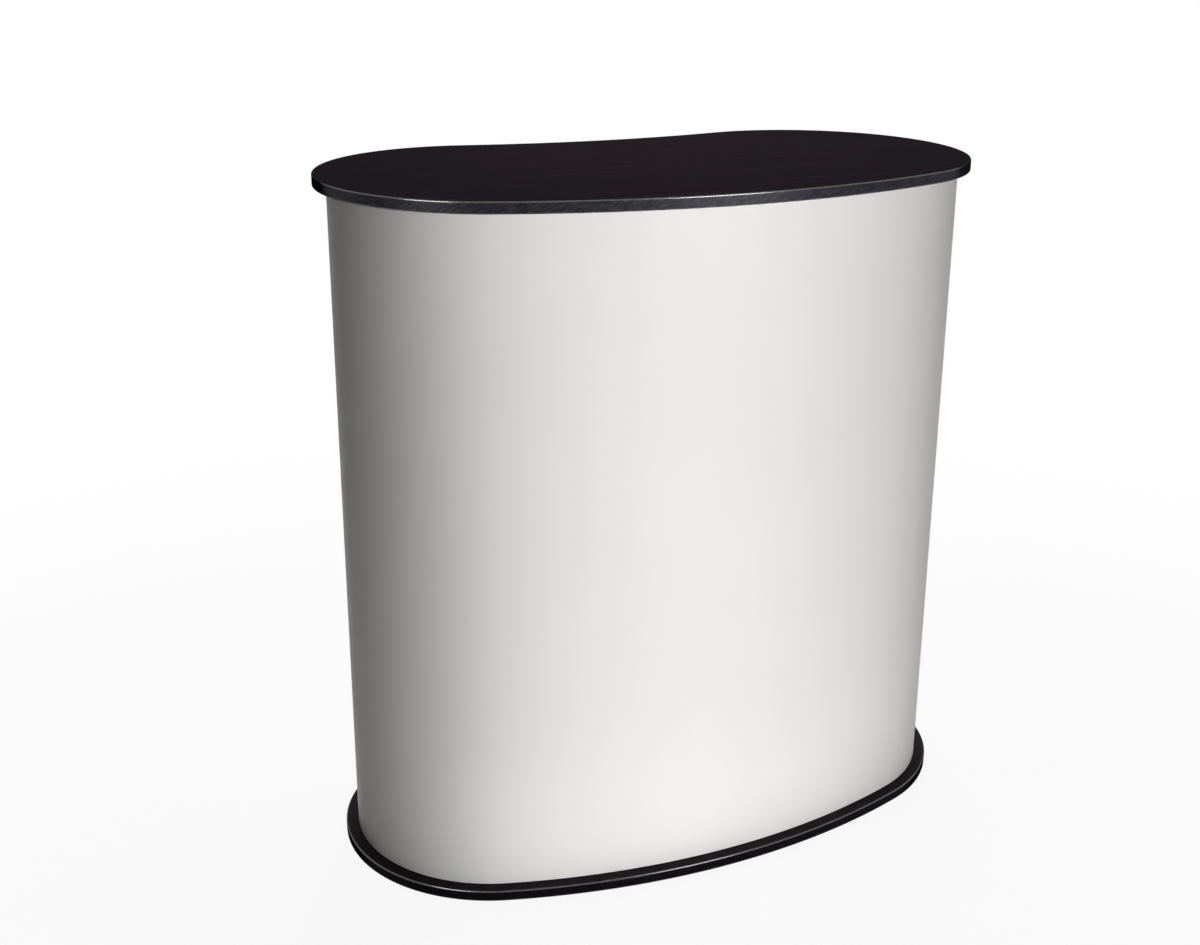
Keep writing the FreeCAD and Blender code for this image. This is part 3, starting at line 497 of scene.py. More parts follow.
WHITE_WRAP = SatinSheet("white_wrap_satin", (0.815, 0.801, 0.784), (0.800, 0.786, 0.768), (0.42, 0.52), 0.05)
WHITE_DOOR = SatinSheet("white_door_laminate", (0.800, 0.790, 0.762), (0.780, 0.770, 0.742), (0.34, 0.46))
ASH_FACE = BlackAsh(
    "black_ash_face",
    Run.ALONG,
    (0.0092, 0.0066, 0.0082),
    (0.0190, 0.0138, 0.0168),
    (0.20, 0.18, 0.16),
    0.0002,
    (0.50, 0.62),
)
ASH_EDGE = BlackAsh(
    "black_ash_edge",
    Run.ROUND_EDGE,
    (0.0068, 0.0062, 0.0108),
    (0.060, 0.055, 0.082),
    (0.25, 0.24, 0.25),
    0.085,
    (0.26, 0.38),
    figure_pitch=0.0016,
    pore_pitch=0.0006,
    stretch=9.0,
    slant=0.4,
    dull_glance=(0.35, 0.68),
)
# The arris finish's pale rub paints a highlight line along the rounded edge, partly standing for wear.
ASH_ARRIS = replace(
    ASH_EDGE, name="black_ash_arris", gloss=0.8, roughness=(0.12, 0.20), pore_depth=0.000012, rub_and_painted_highlight=(0.015, 0.05)
)
# Darker copy of the edge band's colours for the base's band: painted shade.
ASH_SHADED_PLINTH = replace(
    ASH_EDGE, name="black_ash_plinth_painted_shade", dark=(0.0042, 0.0034, 0.0046), pale=(0.0100, 0.0080, 0.0108), gloss=0.015
)
ASH_BASE = replace(ASH_FACE, name="black_ash_base", gloss=0.05)
BLACK_BOARD = Fibreboard("black_fibreboard", (0.0045, 0.0045, 0.005), (0.016, 0.016, 0.0175))
BLACK_JAMB = Fibreboard("black_jamb_paint", (0.0050, 0.0050, 0.0055), (0.013, 0.013, 0.014), (0.5, 0.66))
ALUMINIUM = DrawnMetal("drawn_aluminium", (0.60, 0.60, 0.615), (0.52, 0.52, 0.535), (0.26, 0.42))
ZINC = DrawnMetal("zinc_plate", (0.50, 0.505, 0.52), (0.36, 0.37, 0.40), (0.28, 0.46), line_pitch=0.0006, stretch=4.0)
NICKEL = DrawnMetal("satin_nickel", (0.43, 0.415, 0.39), (0.40, 0.385, 0.36), (0.24, 0.30))
TAPE = WovenTape("hook_and_loop", (0.0035, 0.0035, 0.004), (0.02, 0.02, 0.022))
BLACK_PLASTIC = MouldedPlastic("black_moulded", (0.0055, 0.0055, 0.0058), (0.02, 0.02, 0.021), (0.42, 0.6))
GEL = MouldedPlastic("grey_gel", (0.42, 0.42, 0.41), (0.36, 0.36, 0.35), (0.25, 0.4), clear=0.25)

SLOT_FINISHES = {
    "black_ash": ASH_FACE,
    "black_edging": ASH_EDGE,
    "white_wrap": WHITE_WRAP,
    "black_former": BLACK_BOARD,
    "white_door": WHITE_DOOR,
    "jamb_wood": BLACK_JAMB,
    "aluminium": ALUMINIUM,
    "steel": ZINC,
    "nickel": NICKEL,
    "tape": TAPE,
    "black_plastic": BLACK_PLASTIC,
    "bumper": GEL,
}


@dataclass(frozen=True)
class Arc:
    """Stretch of an outline on one circle, walked from one angle to another in radians."""

    centre: tuple[float, float]
    radius: float
    start: float
    end: float
    hollow: bool = False

    def walk(self, step: float) -> tuple[np.ndarray, np.ndarray]:
        """Points along the arc and the directions out of the outline there.

        Args:
            step: Longest distance from point to point.

        Returns:
            Plan points and plan directions.
        """
        count = math.ceil(abs(self.end - self.start) * self.radius / step) + 1
        angles = np.linspace(self.start, self.end, count)
        spokes = np.column_stack((np.cos(angles), np.sin(angles)))
        return np.array(self.centre) + self.radius * spokes, -spokes if self.hollow else spokes


@dataclass(frozen=True)
class Path:
    """Plan line for a profile to follow."""

    points: np.ndarray
    outward: np.ndarray
    closed: bool

    @property
    def lengths(self) -> np.ndarray:
        """Distance from the start to each point, and round to the start again.

        Returns:
            The distances.
        """
        ring = np.vstack((self.points, self.points[:1]))
        steps = np.linalg.norm(np.diff(ring, axis=0), axis=1)
        return np.concatenate(([0.0], np.cumsum(steps)))


@dataclass(frozen=True)
class KidneyPlan:
    """Plan of the wrap's outer face: two round ends, a bowed front and a hollow rear, all tangent."""

    end_radius: float = 0.215
    half_spacing: float = 0.254
    front_radius: float = 1.010
    rear_radius: float = 1.070
    step: float = 0.006

    def arcs(self, rear_gap: float = 0.0) -> list[Arc]:
        """The outline's arcs, each starting where the last one ends.

        Args:
            rear_gap: Distance left free along each end, from its tangent with the hollow rear.

        Returns:
            Right end, front and left end, walked clockwise from the rear, and then the rear.
        """
        rise = math.sqrt((self.front_radius - self.end_radius) ** 2 - self.half_spacing**2)
        depth = math.sqrt((self.rear_radius + self.end_radius) ** 2 - self.half_spacing**2)
        lobe_y = (self.front_radius - rise - self.end_radius) / 2
        front_turn = math.asin(self.half_spacing / (self.front_radius - self.end_radius))
        rear_turn = math.asin(self.half_spacing / (self.rear_radius + self.end_radius))
        quarter, skip = math.pi / 2, rear_gap / self.end_radius
        right = Arc((self.half_spacing, lobe_y), self.end_radius, quarter + rear_turn - skip, front_turn - quarter)
        front = Arc((0.0, lobe_y + rise), self.front_radius, front_turn - quarter, -quarter - front_turn)
        left = Arc(
            (-self.half_spacing, lobe_y), self.end_radius, -quarter - front_turn, -3 * quarter - rear_turn + skip
        )
        rear = Arc((0.0, lobe_y + depth), self.rear_radius, -quarter - rear_turn, rear_turn - quarter, hollow=True)
        return [right, front, left, rear]

    def path(self, arcs: list[Arc], closed: bool) -> Path:
        """Joins arcs into one line.

        Args:
            arcs: Arcs that follow on from one another.
            closed: Whether the last comes back to the first.

        Returns:
            The line.
        """
        walks = [arc.walk(self.step) for arc in arcs]
        points = np.vstack([walks[0][0]] + [walk[0][1:] for walk in walks[1:]])
        outward = np.vstack([walks[0][1]] + [walk[1][1:] for walk in walks[1:]])
        if closed:
            points, outward = points[:-1], outward[:-1]
        return Path(points, outward, closed)

    def ring(self) -> Path:
        """The whole outline."""
        return self.path(self.arcs(), True)

    def wrapped(self, rear_gap: float) -> Path:
        """The outline without its hollow rear."""
        return self.path(self.arcs(rear_gap)[:3], False)


PLAN = KidneyPlan()


def corner(centre: tuple[float, float], radius: float, start: float, steps: int) -> Section:
    """Quarter of a circle in a profile.

    Args:
        centre: Outset and height of its centre.
        radius: Its radius.
        start: Angle that it starts from, in degrees.
        steps: Chords along it.

    Returns:
        Outset and height of each point.
    """
    angles = [math.radians(start + 90 * index / steps) for index in range(steps + 1)]
    return [(centre[0] + radius * math.cos(turn), centre[1] + radius * math.sin(turn)) for turn in angles]


def turned(work: bmesh.types.BMesh, section: Section, sides: int) -> list[list[bmesh.types.BMVert]]:
    """Turns a section round the upright axis and leaves both ends open.

    Args:
        work: Mesh to add the form to.
        section: Radius and height of each step.
        sides: Points round the axis.

    Returns:
        The points of each step.
    """
    turns = [math.tau * k / sides for k in range(sides)]
    rings = [
        [work.verts.new((radius * math.cos(a), radius * math.sin(a), level)) for a in turns]
        for radius, level in section
    ]
    for near, far in zip(rings, rings[1:]):
        for k in range(sides):
            j = (k + 1) % sides
            work.faces.new((near[k], far[k], far[j], near[j]))
    return rings


def emptied(work: bmesh.types.BMesh) -> tuple[list[Vector], list[tuple[int, ...]]]:
    """Takes everything out of a mesh and frees it.

    Args:
        work: The mesh.

    Returns:
        Its points, and its faces as numbers of points.
    """
    work.verts.index_update()
    points = [vertex.co.copy() for vertex in work.verts]
    faces = [tuple(vertex.index for vertex in face.verts) for face in work.faces]
    work.free()
    return points, faces


def mesh_piece(
    name: str, vertices: np.ndarray, faces: list[tuple[int, ...]], body: str, finish: Finish
) -> bpy.types.Object:
    """Makes a smooth-shaded piece that rides on a body.

    Args:
        name: Name of the piece.
        vertices: Its points.
        faces: Its faces, as numbers of points.
        body: Body that carries it.
        finish: Its finish.

    Returns:
        The piece.
    """
    mesh = bpy.data.meshes.new(name)
    mesh.from_pydata([tuple(point) for point in vertices], [], faces)
    work = bmesh.new()
    work.from_mesh(mesh)
    bmesh.ops.recalc_face_normals(work, faces=work.faces)
    work.to_mesh(mesh)
    work.free()
    mesh.shade_smooth()
    mesh.set_sharp_from_angle(angle=SHARP_TURN)
    mesh.materials.append(finish.material())
    piece = bpy.data.objects.new(name, mesh)
    bpy.context.scene.collection.objects.link(piece)
    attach(piece, body)
    weigh = piece.modifiers.new("even_faces", "WEIGHTED_NORMAL")
    weigh.keep_sharp = True
    return piece


def sweep(name: str, path: Path, profile: Section, body: str, finish: Finish) -> bpy.types.Object:
    """Draws a closed profile along a plan line; the map runs along the line and round the profile.

    Args:
        name: Name of the piece.
        path: Line to follow.
        profile: Outsets and heights, in order.
        body: Body that carries the piece.
        finish: Its finish.

    Returns:
        The piece.
    """
    count, size = len(path.points), len(profile)
    outsets = np.array([outset for outset, _ in profile])
    plan = path.points[:, None, :] + path.outward[:, None, :] * outsets[None, :, None]
    heights = np.broadcast_to(np.array([height for _, height in profile])[None, :, None], (count, size, 1))
    vertices = np.concatenate((plan, heights), axis=2).reshape(-1, 3)
    spans = count if path.closed else count - 1
    faces: list[tuple[int, ...]] = []
    for row in range(spans):
        near, far = row * size, (row + 1) % count * size
        for index in range(size):
            after = (index + 1) % size
            faces.append((near + index, far + index, far + after, near + after))
    if not path.closed:
        faces += [tuple(range(size)), tuple(range((count - 1) * size, count * size))]
    piece = mesh_piece(name, vertices, faces, body, finish)
    ring = np.array(profile + profile[:1])
    around = np.concatenate(([0.0], np.cumsum(np.linalg.norm(np.diff(ring, axis=0), axis=1))))
    along = path.lengths
    layer = piece.data.uv_layers.new(name="run")
    for face in piece.data.polygons:
        rows = [number // size for number in face.vertices]
        places = [number % size for number in face.vertices]
        for loop, row, place in zip(face.loop_indices, rows, places):
            last_row = path.closed and row == 0 and max(rows) == count - 1
            last_place = place == 0 and max(places) == size - 1
            layer.data[loop].uv = (along[count if last_row else row], around[size if last_place else place])
    return piece


def solids(node: bpy.types.Object) -> list[np.ndarray]:
    """Separate solids of a carried-over node.

    Args:
        node: The node.

    Returns:
        The points of each solid.
    """
    points = np.array([vertex.co for vertex in node.data.vertices])
    _, merged = np.unique(points.round(WELD_DIGITS), axis=0, return_inverse=True)
    merged = merged.ravel()
    edges = merged[np.array([edge.vertices[:] for edge in node.data.edges])]
    labels = np.arange(merged.max() + 1)
    while True:
        before = labels.copy()
        lowest = np.minimum(labels[edges[:, 0]], labels[edges[:, 1]])
        np.minimum.at(labels, edges[:, 0], lowest)
        np.minimum.at(labels, edges[:, 1], lowest)
        labels = labels[labels]
        if (labels == before).all():
            break
    return [points[labels[merged] == label] for label in np.unique(labels)]


def slot_of(name: str) -> str:
    """Slot of the record that a node takes its finish from."""
    return next(part["material_slot"] for part in frame["record"]["subparts"] if part["node"] == name)


def dress(*names: str, finish: Finish | None = None) -> None:
    """Gives carried-over nodes a finish.

    Args:
        names: Names of the nodes.
        finish: The finish, if it isn't the usual one of the nodes' slots.
    """
    for name in names:
        chosen = finish or SLOT_FINISHES[slot_of(name)]
        node = frame["nodes"][name]
        node.data.materials.clear()
        node.data.materials.append(chosen.material())
        LOG.info("%s: %s", name, chosen.name)


@dataclass
class EdgedBoard:
    """Worktop or base: a carried-over board and the band glued round its edge."""

    name: str
    low: float
    high: float
    face: Finish
    edge: Finish
    overhang: float = 0.018
    band: float = 0.00214
    arris: float = 0.0018
    arris_chords: int = 6

    def profile(self) -> Section:
        """Section of the band, from the top of its outer face round to the back.

        Returns:
            Outset and height of each point.
        """
        inner, outer, turn = self.overhang - self.band, self.overhang, self.arris
        upper = corner((outer - turn, self.high - turn), turn, 0, self.arris_chords)
        lower = corner((outer - turn, self.low + turn), turn, 270, self.arris_chords)
        return upper + [(inner, self.high), (inner, self.low)] + lower

    def build(self) -> bpy.types.Object:
        """Makes the band and finishes the board.

        Returns:
            The band.
        """
        dress(f"{self.name}_board", finish=self.face)
        edging = sweep(f"{self.name}_edge_band", PLAN.ring(), self.profile(), "counter", self.edge)
        # The arris faces take the finish whose pale rub is partly wear, partly a painted highlight.
        edging.data.materials.append(ASH_ARRIS.material())
        for polygon in edging.data.polygons:
            heights = [edging.data.vertices[number].co.z for number in polygon.vertices]
            spread = max(heights) - min(heights)
            if 0 < spread < self.arris:
                polygon.material_index = 1
        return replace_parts(edging, f"{self.name}_edging")


@dataclass
class WrapSheet:
    """White sheet round the front and both ends, with its tapes."""

    low: float = 0.023
    high: float = 0.983
    thickness: float = 0.0015
    ease: float = 0.0003
    ease_chords: int = 3
    rear_gap: float = 0.0015
    courses: int = 12

    def profile(self) -> Section:
        """Section of the sheet with eased corners, its faces divided into courses.

        Returns:
            Outset and height of each point.
        """
        back, ease, chords = -self.thickness, self.ease, self.ease_chords
        rise = np.linspace(self.low + ease, self.high - ease, self.courses + 1)[1:-1].tolist()
        outer = [(0.0, level) for level in rise]
        inner = [(back, level) for level in reversed(rise)]
        upper_outer = corner((-ease, self.high - ease), ease, 0, chords)
        upper_inner = corner((back + ease, self.high - ease), ease, 90, chords)
        lower_inner = corner((back + ease, self.low + ease), ease, 180, chords)
        lower_outer = corner((-ease, self.low + ease), ease, 270, chords)
        return outer + upper_outer + upper_inner + inner + lower_inner + lower_outer

    def build(self) -> bpy.types.Object:
        """Makes the sheet and finishes its tapes.

        Returns:
            The sheet.
        """
        dress("hook_tapes", "loop_tapes")
        path = PLAN.wrapped(self.rear_gap)
        sheet = sweep("wrap_sheet", path, self.profile(), "counter", WHITE_WRAP)
        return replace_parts(sheet, "wrap_panel")


@dataclass
class Screws:
    """Screws of one carried-over node, remade with recessed heads."""

    node: str
    body: str
    drive: Drive = Drive.CROSS
    sides: int = 28
    recess_reach: float = 0.62
    recess_width: float = 0.22
    recess_depth: float = 0.55
    recess_taper: float = 0.7
    turn_step: float = 1.1
    least_radius: float = 1e-4
    digits: int = 5

    def seat(self, points: np.ndarray) -> tuple[Matrix, Section]:
        """Where a screw sits, and its section.

        Args:
            points: Points of the carried-over screw.

        Returns:
            Its frame, with the head's face at the origin and the shank down, and the radius and height of each
            step of its section, from the head's rim on.
        """
        middle = points.mean(axis=0)
        axis = np.linalg.svd(points - middle)[2][0]
        along = (points - middle) @ axis
        spread = np.linalg.norm(points - middle - np.outer(along, axis), axis=1)
        if along[spread.argmax()] < 0:
            axis, along = -axis, -along
        turn = Vector((0.0, 0.0, 1.0)).rotation_difference(Vector(axis)).to_matrix()
        local = (points - middle) @ np.array(turn)
        centre = (local.min(axis=0) + local.max(axis=0)) / 2
        head = local[:, 2].max()
        radii = np.linalg.norm(local[:, :2] - centre[:2], axis=1).round(self.digits)
        levels = (local[:, 2] - head).round(self.digits)
        section = sorted(set(zip(levels.tolist(), radii.tolist())), key=lambda step: (-step[0], -step[1]))
        steps = [(radius, level) for level, radius in section if radius > self.least_radius]
        origin = Vector(middle) + turn @ Vector((centre[0], centre[1], head))
        return Matrix.Translation(origin) @ turn.to_4x4(), steps

    def recess(self, head: float) -> Section:
        """Outline of the recess in the head's face.

        Args:
            head: Radius of the head.

        Returns:
            Plan points, anticlockwise.
        """
        reach, half = head * self.recess_reach, head * self.recess_width / 2
        if self.drive is Drive.HEX:
            return [(reach * math.cos(math.pi * k / 3), reach * math.sin(math.pi * k / 3)) for k in range(6)]
        quarter = [(reach, -half), (reach, half), (half, half)]
        turns = [(1, 0), (0, 1), (-1, 0), (0, -1)]
        return [(c * x - s * y, s * x + c * y) for c, s in turns for x, y in quarter]

    def form(self, section: Section) -> bmesh.types.BMesh:
        """One screw, head up at the origin.

        Args:
            section: Radius and height of each step from the head's rim on.

        Returns:
            Its mesh.
        """
        work = bmesh.new()
        rings = turned(work, section, self.sides)
        work.faces.new(rings[-1])
        head = section[0][0]
        outline = self.recess(head)
        depth = head * self.recess_depth
        mouth = [work.verts.new((x, y, 0.0)) for x, y in outline]
        floor = [work.verts.new((self.recess_taper * x, self.recess_taper * y, -depth)) for x, y in outline]
        count = len(outline)
        rim = [work.edges.get((rings[0][k], rings[0][(k + 1) % self.sides])) for k in range(self.sides)]
        lip = [work.edges.new((mouth[k], mouth[(k + 1) % count])) for k in range(count)]
        bmesh.ops.triangle_fill(work, use_beauty=True, edges=rim + lip)
        for k in range(count):
            j = (k + 1) % count
            work.faces.new((mouth[k], mouth[j], floor[j], floor[k]))
        work.faces.new(floor)
        return work

    def build(self) -> bpy.types.Object:
        """Makes the screws, each turned a little further than the last.

        Returns:
            The piece that holds them all.
        """
        vertices: list[Vector] = []
        faces: list[tuple[int, ...]] = []
        for index, points in enumerate(solids(frame["nodes"][self.node])):
            seat, section = self.seat(points)
            spots, rounds = emptied(self.form(section))
            seat = seat @ Matrix.Rotation(index * self.turn_step, 4, "Z")
            start = len(vertices)
            vertices += [seat @ spot for spot in spots]
            faces += [tuple(start + number for number in face) for face in rounds]
        slot = slot_of(self.node)
        piece = mesh_piece(f"{self.node}_recessed", np.array(vertices), faces, self.body, SLOT_FINISHES[slot])
        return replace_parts(piece, self.node)


@dataclass
class Carcass:
    """Boards, formers, uprights and shelf under and inside the wrap."""

    worktop: EdgedBoard = field(default_factory=lambda: EdgedBoard("worktop", 0.984, 1.0, ASH_FACE, ASH_EDGE))
    # The base's band takes the darker copy of the edge band, which paints shade.
    base: EdgedBoard = field(default_factory=lambda: EdgedBoard("base", 0.006, 0.022, ASH_BASE, ASH_SHADED_PLINTH))
    wrap: WrapSheet = field(default_factory=WrapSheet)
    screw_nodes: tuple[str, ...] = (
        "worktop_screws",
        "base_screws",
        "jamb_screws",
        "strike_screws",
        "hinge_frame_screws",
    )
    hex_nodes: tuple[str, ...] = ("post_bolts", "collar_screws")

    def build(self) -> list[bpy.types.Object]:
        """Makes and finishes the carcass.

        Returns:
            Its new pieces.
        """
        dress("top_former", "base_former", "hinge_jamb", "lock_jamb", "left_post", "right_post", "post_plugs")
        dress("shelf_board", finish=ASH_BASE)
        dress("shelf_collars", "shelf_pegs", "strike_plate", "door_bumpers")
        pieces = [self.worktop.build(), self.base.build(), self.wrap.build()]
        pieces += [Screws(node, "counter").build() for node in self.screw_nodes]
        pieces += [Screws(node, "counter", Drive.HEX).build() for node in self.hex_nodes]
        return pieces


@dataclass
class RearDoor:
    """Curved door with its hinges, pull and cam lock."""

    screw_nodes: tuple[str, ...] = ("hinge_door_screws", "pull_screws")

    def build(self) -> list[bpy.types.Object]:
        """Finishes the door and makes its screws.

        Returns:
            The new pieces.
        """
        dress("door_panel", "hinge_frame_leaves", "hinge_door_leaves", "hinge_pins", "door_pull")
        dress("lock_housing", "lock_plug", "lock_nut", "lock_cam")
        pieces = [Screws(node, "door").build() for node in self.screw_nodes]
        return pieces + [Screws("cam_screw", "lock").build()]


@dataclass
class ThreadedStem:
    """Stem of a levelling foot: a flange, a right-hand thread and a slotted tip."""

    corner: str
    flange: tuple[float, float, float] = (0.0060, 0.00195, 0.00355)
    flange_ease: float = 0.0002
    crest: float = 0.0040
    root: float = 0.0034
    pitch: float = 0.00125
    run_out: float = 0.0018
    slot_floor: float = 0.02945
    tip: float = 0.03195
    slot_width: float = 0.0015
    sides: int = 28
    ridge: tuple[float, ...] = (0.0, 0.0, 1.0, 1.0)
    weld: float = 0.000002

    def collar(self, work: bmesh.types.BMesh) -> None:
        """Turns the flange, eased at both rims.

        Args:
            work: Mesh to add the flange to.
        """
        radius, low, high = self.flange
        ease = self.flange_ease
        section = [(radius - ease, low), (radius, low + ease), (radius, high - ease), (radius - ease, high)]
        rings = turned(work, section, self.sides)
        work.faces.new(rings[0])
        work.faces.new(rings[-1])

    def thread(self, work: bmesh.types.BMesh) -> None:
        """Winds the thread from the flange up to the floor of the slot, running out at both ends.

        Args:
            work: Mesh to add the thread to.
        """
        low, high = self.flange[2] - self.flange_ease, self.slot_floor
        per_turn = len(self.ridge)
        count = per_turn * math.ceil((high - low) / self.pitch + 2)
        rings = []
        for k in range(self.sides + 1):
            angle = math.tau * k / self.sides
            column = []
            for row in range(count):
                level = low + self.pitch * (row / per_turn + k / self.sides - 1)
                fade = min(1.0, max(0.0, min(level - low, high - level) / self.run_out))
                radius = self.root + (self.crest - self.root) * self.ridge[row % per_turn] * fade
                spot = (radius * math.cos(angle), radius * math.sin(angle), min(high, max(low, level)))
                column.append(work.verts.new(spot))
            rings.append(column)
        for near, far in zip(rings, rings[1:]):
            for row in range(count - 1):
                work.faces.new((near[row], far[row], far[row + 1], near[row + 1]))
        bmesh.ops.remove_doubles(work, verts=work.verts, dist=self.weld)
        bmesh.ops.dissolve_degenerate(work, edges=work.edges, dist=self.weld)
        bmesh.ops.holes_fill(work, edges=[edge for edge in work.edges if edge.is_boundary], sides=0)

    def prong(self, work: bmesh.types.BMesh, side: int) -> None:
        """Stands up the tip on one side of the slot.

        Args:
            work: Mesh to add the prong to.
            side: 1 or -1.
        """
        start = math.asin(self.slot_width / 2 / self.root)
        angles = np.linspace(start, math.pi - start, self.sides // 2)
        outline = [(self.root * math.cos(a), side * self.root * math.sin(a)) for a in angles]
        low, high = ([work.verts.new((x, y, level)) for x, y in outline] for level in (self.slot_floor, self.tip))
        for k in range(len(outline)):
            j = (k + 1) % len(outline)
            work.faces.new((low[k], low[j], high[j], high[k]))
        work.faces.new(low)
        work.faces.new(high)

    def build(self) -> bpy.types.Object:
        """Makes the stem where the carried-over one stands.

        Returns:
            The stem.
        """
        name = f"foot_stem_{self.corner}"
        points = np.array([vertex.co for vertex in frame["nodes"][name].data.vertices])
        centre = (points.min(axis=0) + points.max(axis=0))[:2] / 2
        work = bmesh.new()
        self.thread(work)
        self.collar(work)
        for side in (-1, 1):
            self.prong(work, side)
        spots, faces = emptied(work)
        vertices = np.array(spots) + (*centre, 0.0)
        stem = mesh_piece(f"threaded_stem_{self.corner}", vertices, faces, f"stem_{self.corner}", ZINC)
        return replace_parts(stem, name)


@dataclass
class LevellingFeet:
    """Four feet: pads, threaded stems and the inserts they turn in."""

    corners: tuple[str, ...] = ("front_left", "front_right", "rear_left", "rear_right")

    def build(self) -> list[bpy.types.Object]:
        """Finishes the pads and inserts, and makes the stems.

        Returns:
            The stems.
        """
        dress("foot_inserts", *(f"foot_pad_{corner}" for corner in self.corners))
        return [ThreadedStem(corner).build() for corner in self.corners]


def bearing(azimuth: float, elevation: float) -> Vector:
    """Direction from the counter out to a lamp or the camera.

    Args:
        azimuth: Degrees from the front round to the right.
        elevation: Degrees above the level.

    Returns:
        The direction, of length 1.
    """
    turn, rise = math.radians(azimuth), math.radians(elevation)
    return Vector((math.sin(turn) * math.cos(rise), -math.cos(turn) * math.cos(rise), math.sin(rise)))


@dataclass(frozen=True)
class Softbox:
    """Rectangular lamp with a diffuser, aimed at the counter."""

    name: str
    azimuth: float
    elevation: float
    distance: float
    size: tuple[float, float]
    power: float
    spread: float = 180.0
    in_gloss: bool = True
    in_diffuse: bool = True
    aim: tuple[float, float, float] = (0.0, 0.0, 0.5)

    def build(self) -> None:
        """Hangs the lamp."""
        light = bpy.data.lights.new(self.name, "AREA")
        light.shape = "RECTANGLE"
        light.size, light.size_y = self.size
        light.energy = self.power
        light.spread = math.radians(self.spread)
        lamp = bpy.data.objects.new(self.name, light)
        lamp.visible_glossy = self.in_gloss
        lamp.visible_diffuse = self.in_diffuse
        back = bearing(self.azimuth, self.elevation)
        lamp.location = Vector(self.aim) + back * self.distance
        lamp.rotation_mode = "QUATERNION"
        lamp.rotation_quaternion = (-back).to_track_quat("-Z", "Y")
        bpy.context.scene.collection.objects.link(lamp)


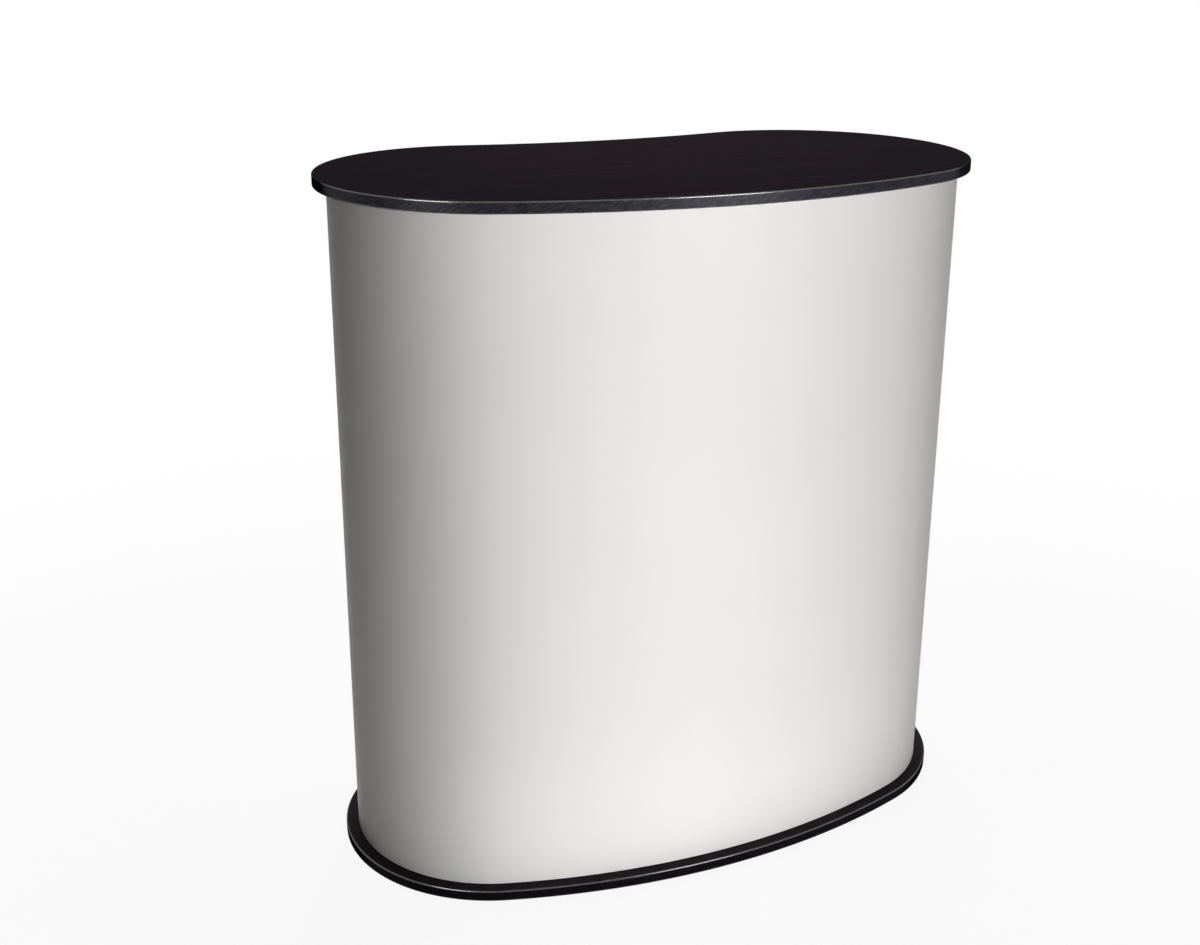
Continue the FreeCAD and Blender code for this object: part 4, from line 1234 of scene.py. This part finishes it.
@dataclass
class Studio:
    """Pale floor, white surroundings and soft lamps."""

    floor_reach: float = 14.0
    floor_colour: Colour = (0.80, 0.785, 0.77)
    floor_roughness: float = 0.9
    ambient: float = 0.015
    ambient_colour: Colour = (1.0, 0.955, 0.93)
    glow: float = 0.92
    glow_reach: Band = (0.7, 2.2)
    lamps: tuple[Softbox, ...] = (
        Softbox("front_box", -4.0, 2.0, 1.2, (0.9, 1.7), 2.77, spread=30.0, in_gloss=False),
        Softbox("front_strip", -10.0, 2.0, 1.4, (0.5, 1.7), 1.18, spread=40.0, in_gloss=False),
        Softbox("low_strip", -7.0, 1.0, 0.8, (0.8, 0.08), 0.09, spread=40.0, in_gloss=False, aim=(0.0, 0.0, 0.05)),
        Softbox("right_edge_box", 21.0, 8.0, 1.3, (0.5, 0.7), 31.0, in_diffuse=False, aim=(0.0, -0.2, 1.0)),
        Softbox("left_edge_box", -60.0, 12.0, 1.6, (0.8, 0.8), 42.0, in_diffuse=False, aim=(-0.25, -0.1, 1.0)),
        Softbox("rear_box", 153.0, 30.0, 3.0, (1.6, 1.6), 64.0, in_gloss=False),
        Softbox("top_box", 180.0, 86.0, 1.2, (1.0, 0.6), 5.6, spread=110.0, in_gloss=False, aim=(0.0, 0.0, 1.0)),
    )

    def seen_share(self, tree: bpy.types.NodeTree) -> Socket:
        """Share that is 1 for rays that see the backdrop itself, in a lens, a gloss or a glass.

        Args:
            tree: Node tree of the floor or the surroundings.

        Returns:
            The share.
        """
        path = tree.nodes.new("ShaderNodeLightPath")
        share = path.outputs["Is Camera Ray"]
        for name in ("Is Glossy Ray", "Is Transmission Ray"):
            either = tree.nodes.new("ShaderNodeMath")
            either.operation = "MAXIMUM"
            tree.links.new(share, either.inputs[0])
            tree.links.new(path.outputs[name], either.inputs[1])
            share = either.outputs[0]
        return share

    def surroundings(self) -> None:
        """Lights the scene softly from all round, and shows white."""
        world = bpy.data.worlds.new("surroundings")
        world.use_nodes = True
        tree = world.node_tree
        tree.nodes.clear()
        soft, white = (tree.nodes.new("ShaderNodeBackground") for _ in range(2))
        soft.inputs["Color"].default_value = (*self.ambient_colour, 1.0)
        soft.inputs["Strength"].default_value = self.ambient
        white.inputs["Color"].default_value = (*WHITE, 1.0)
        mix = tree.nodes.new("ShaderNodeMixShader")
        output = tree.nodes.new("ShaderNodeOutputWorld")
        tree.links.new(self.seen_share(tree), mix.inputs[0])
        tree.links.new(soft.outputs[0], mix.inputs[1])
        tree.links.new(white.outputs[0], mix.inputs[2])
        tree.links.new(mix.outputs[0], output.inputs["Surface"])
        bpy.context.scene.world = world

    def floor(self) -> None:
        """Lays the floor, which keeps the counter's soft shadow and fades to white further out."""
        reach = self.floor_reach
        corners = [(-reach, -reach, 0), (reach, -reach, 0), (reach, reach, 0), (-reach, reach, 0)]
        mesh = bpy.data.meshes.new("studio_floor")
        mesh.from_pydata(corners, [], [(0, 1, 2, 3)])
        floor = bpy.data.objects.new("studio_floor", mesh)
        bpy.context.scene.collection.objects.link(floor)
        made = Tree("studio_floor")
        made.surface(
            {"Base Color": self.floor_colour, "Roughness": self.floor_roughness, "Specular IOR Level": 0.0}
        )
        tree = made.tree
        glow = made.add("ShaderNodeEmission", {"Color": WHITE, "Strength": 1.0})
        away = made.add("ShaderNodeVectorMath", {0: made.place()}, operation="LENGTH").outputs["Value"]
        fade = made.ramp(away, self.glow_reach, (self.glow, 1.0))
        share = made.combine(self.seen_share(tree), fade, "MULTIPLY")
        mix = made.add("ShaderNodeMixShader", {0: share, 1: made.shader.outputs[0], 2: glow.outputs[0]})
        output = next(node for node in tree.nodes if node.type == "OUTPUT_MATERIAL")
        tree.links.new(mix.outputs[0], output.inputs["Surface"])
        mesh.materials.append(made.material)

    def build(self) -> None:
        """Sets up floor, surroundings and lamps."""
        self.floor()
        self.surroundings()
        for lamp in self.lamps:
            lamp.build()
        bpy.context.scene.view_settings.view_transform = "Standard"


@dataclass(frozen=True)
class Viewpoint:
    """Camera in front of the counter, to its left and above it."""

    azimuth: float = -26.980
    elevation: float = 19.630
    roll: float = 1.192
    distance: float = 2.48317
    target: tuple[float, float, float] = (0.04069, 0.02083, 0.52616)
    lens: float = 48.974
    sensor: float = 36.0
    shift: float = -0.06393

    def build(self) -> None:
        """Sets up the camera."""
        data = bpy.data.cameras.new("viewpoint")
        data.lens = self.lens
        data.sensor_width = self.sensor
        data.shift_x = self.shift
        camera = bpy.data.objects.new("viewpoint", data)
        back = bearing(self.azimuth, self.elevation)
        aimed = (-back).to_track_quat("-Z", "Y").to_matrix().to_4x4()
        rolled = aimed @ Matrix.Rotation(math.radians(self.roll), 4, "Z")
        camera.matrix_world = Matrix.Translation(Vector(self.target) + back * self.distance) @ rolled
        bpy.context.scene.collection.objects.link(camera)
        bpy.context.scene.camera = camera


def main() -> None:
    """Builds the counter's looks, the studio and the viewpoint, in that order."""
    logging.basicConfig(level=logging.INFO, format="%(name)s %(message)s")
    for part in (Carcass(), RearDoor(), LevellingFeet()):
        for piece in part.build():
            LOG.info("%s: %d faces", piece.name, len(piece.data.polygons))
    Studio().build()
    Viewpoint().build()


if __name__ == "__main__":
    main()
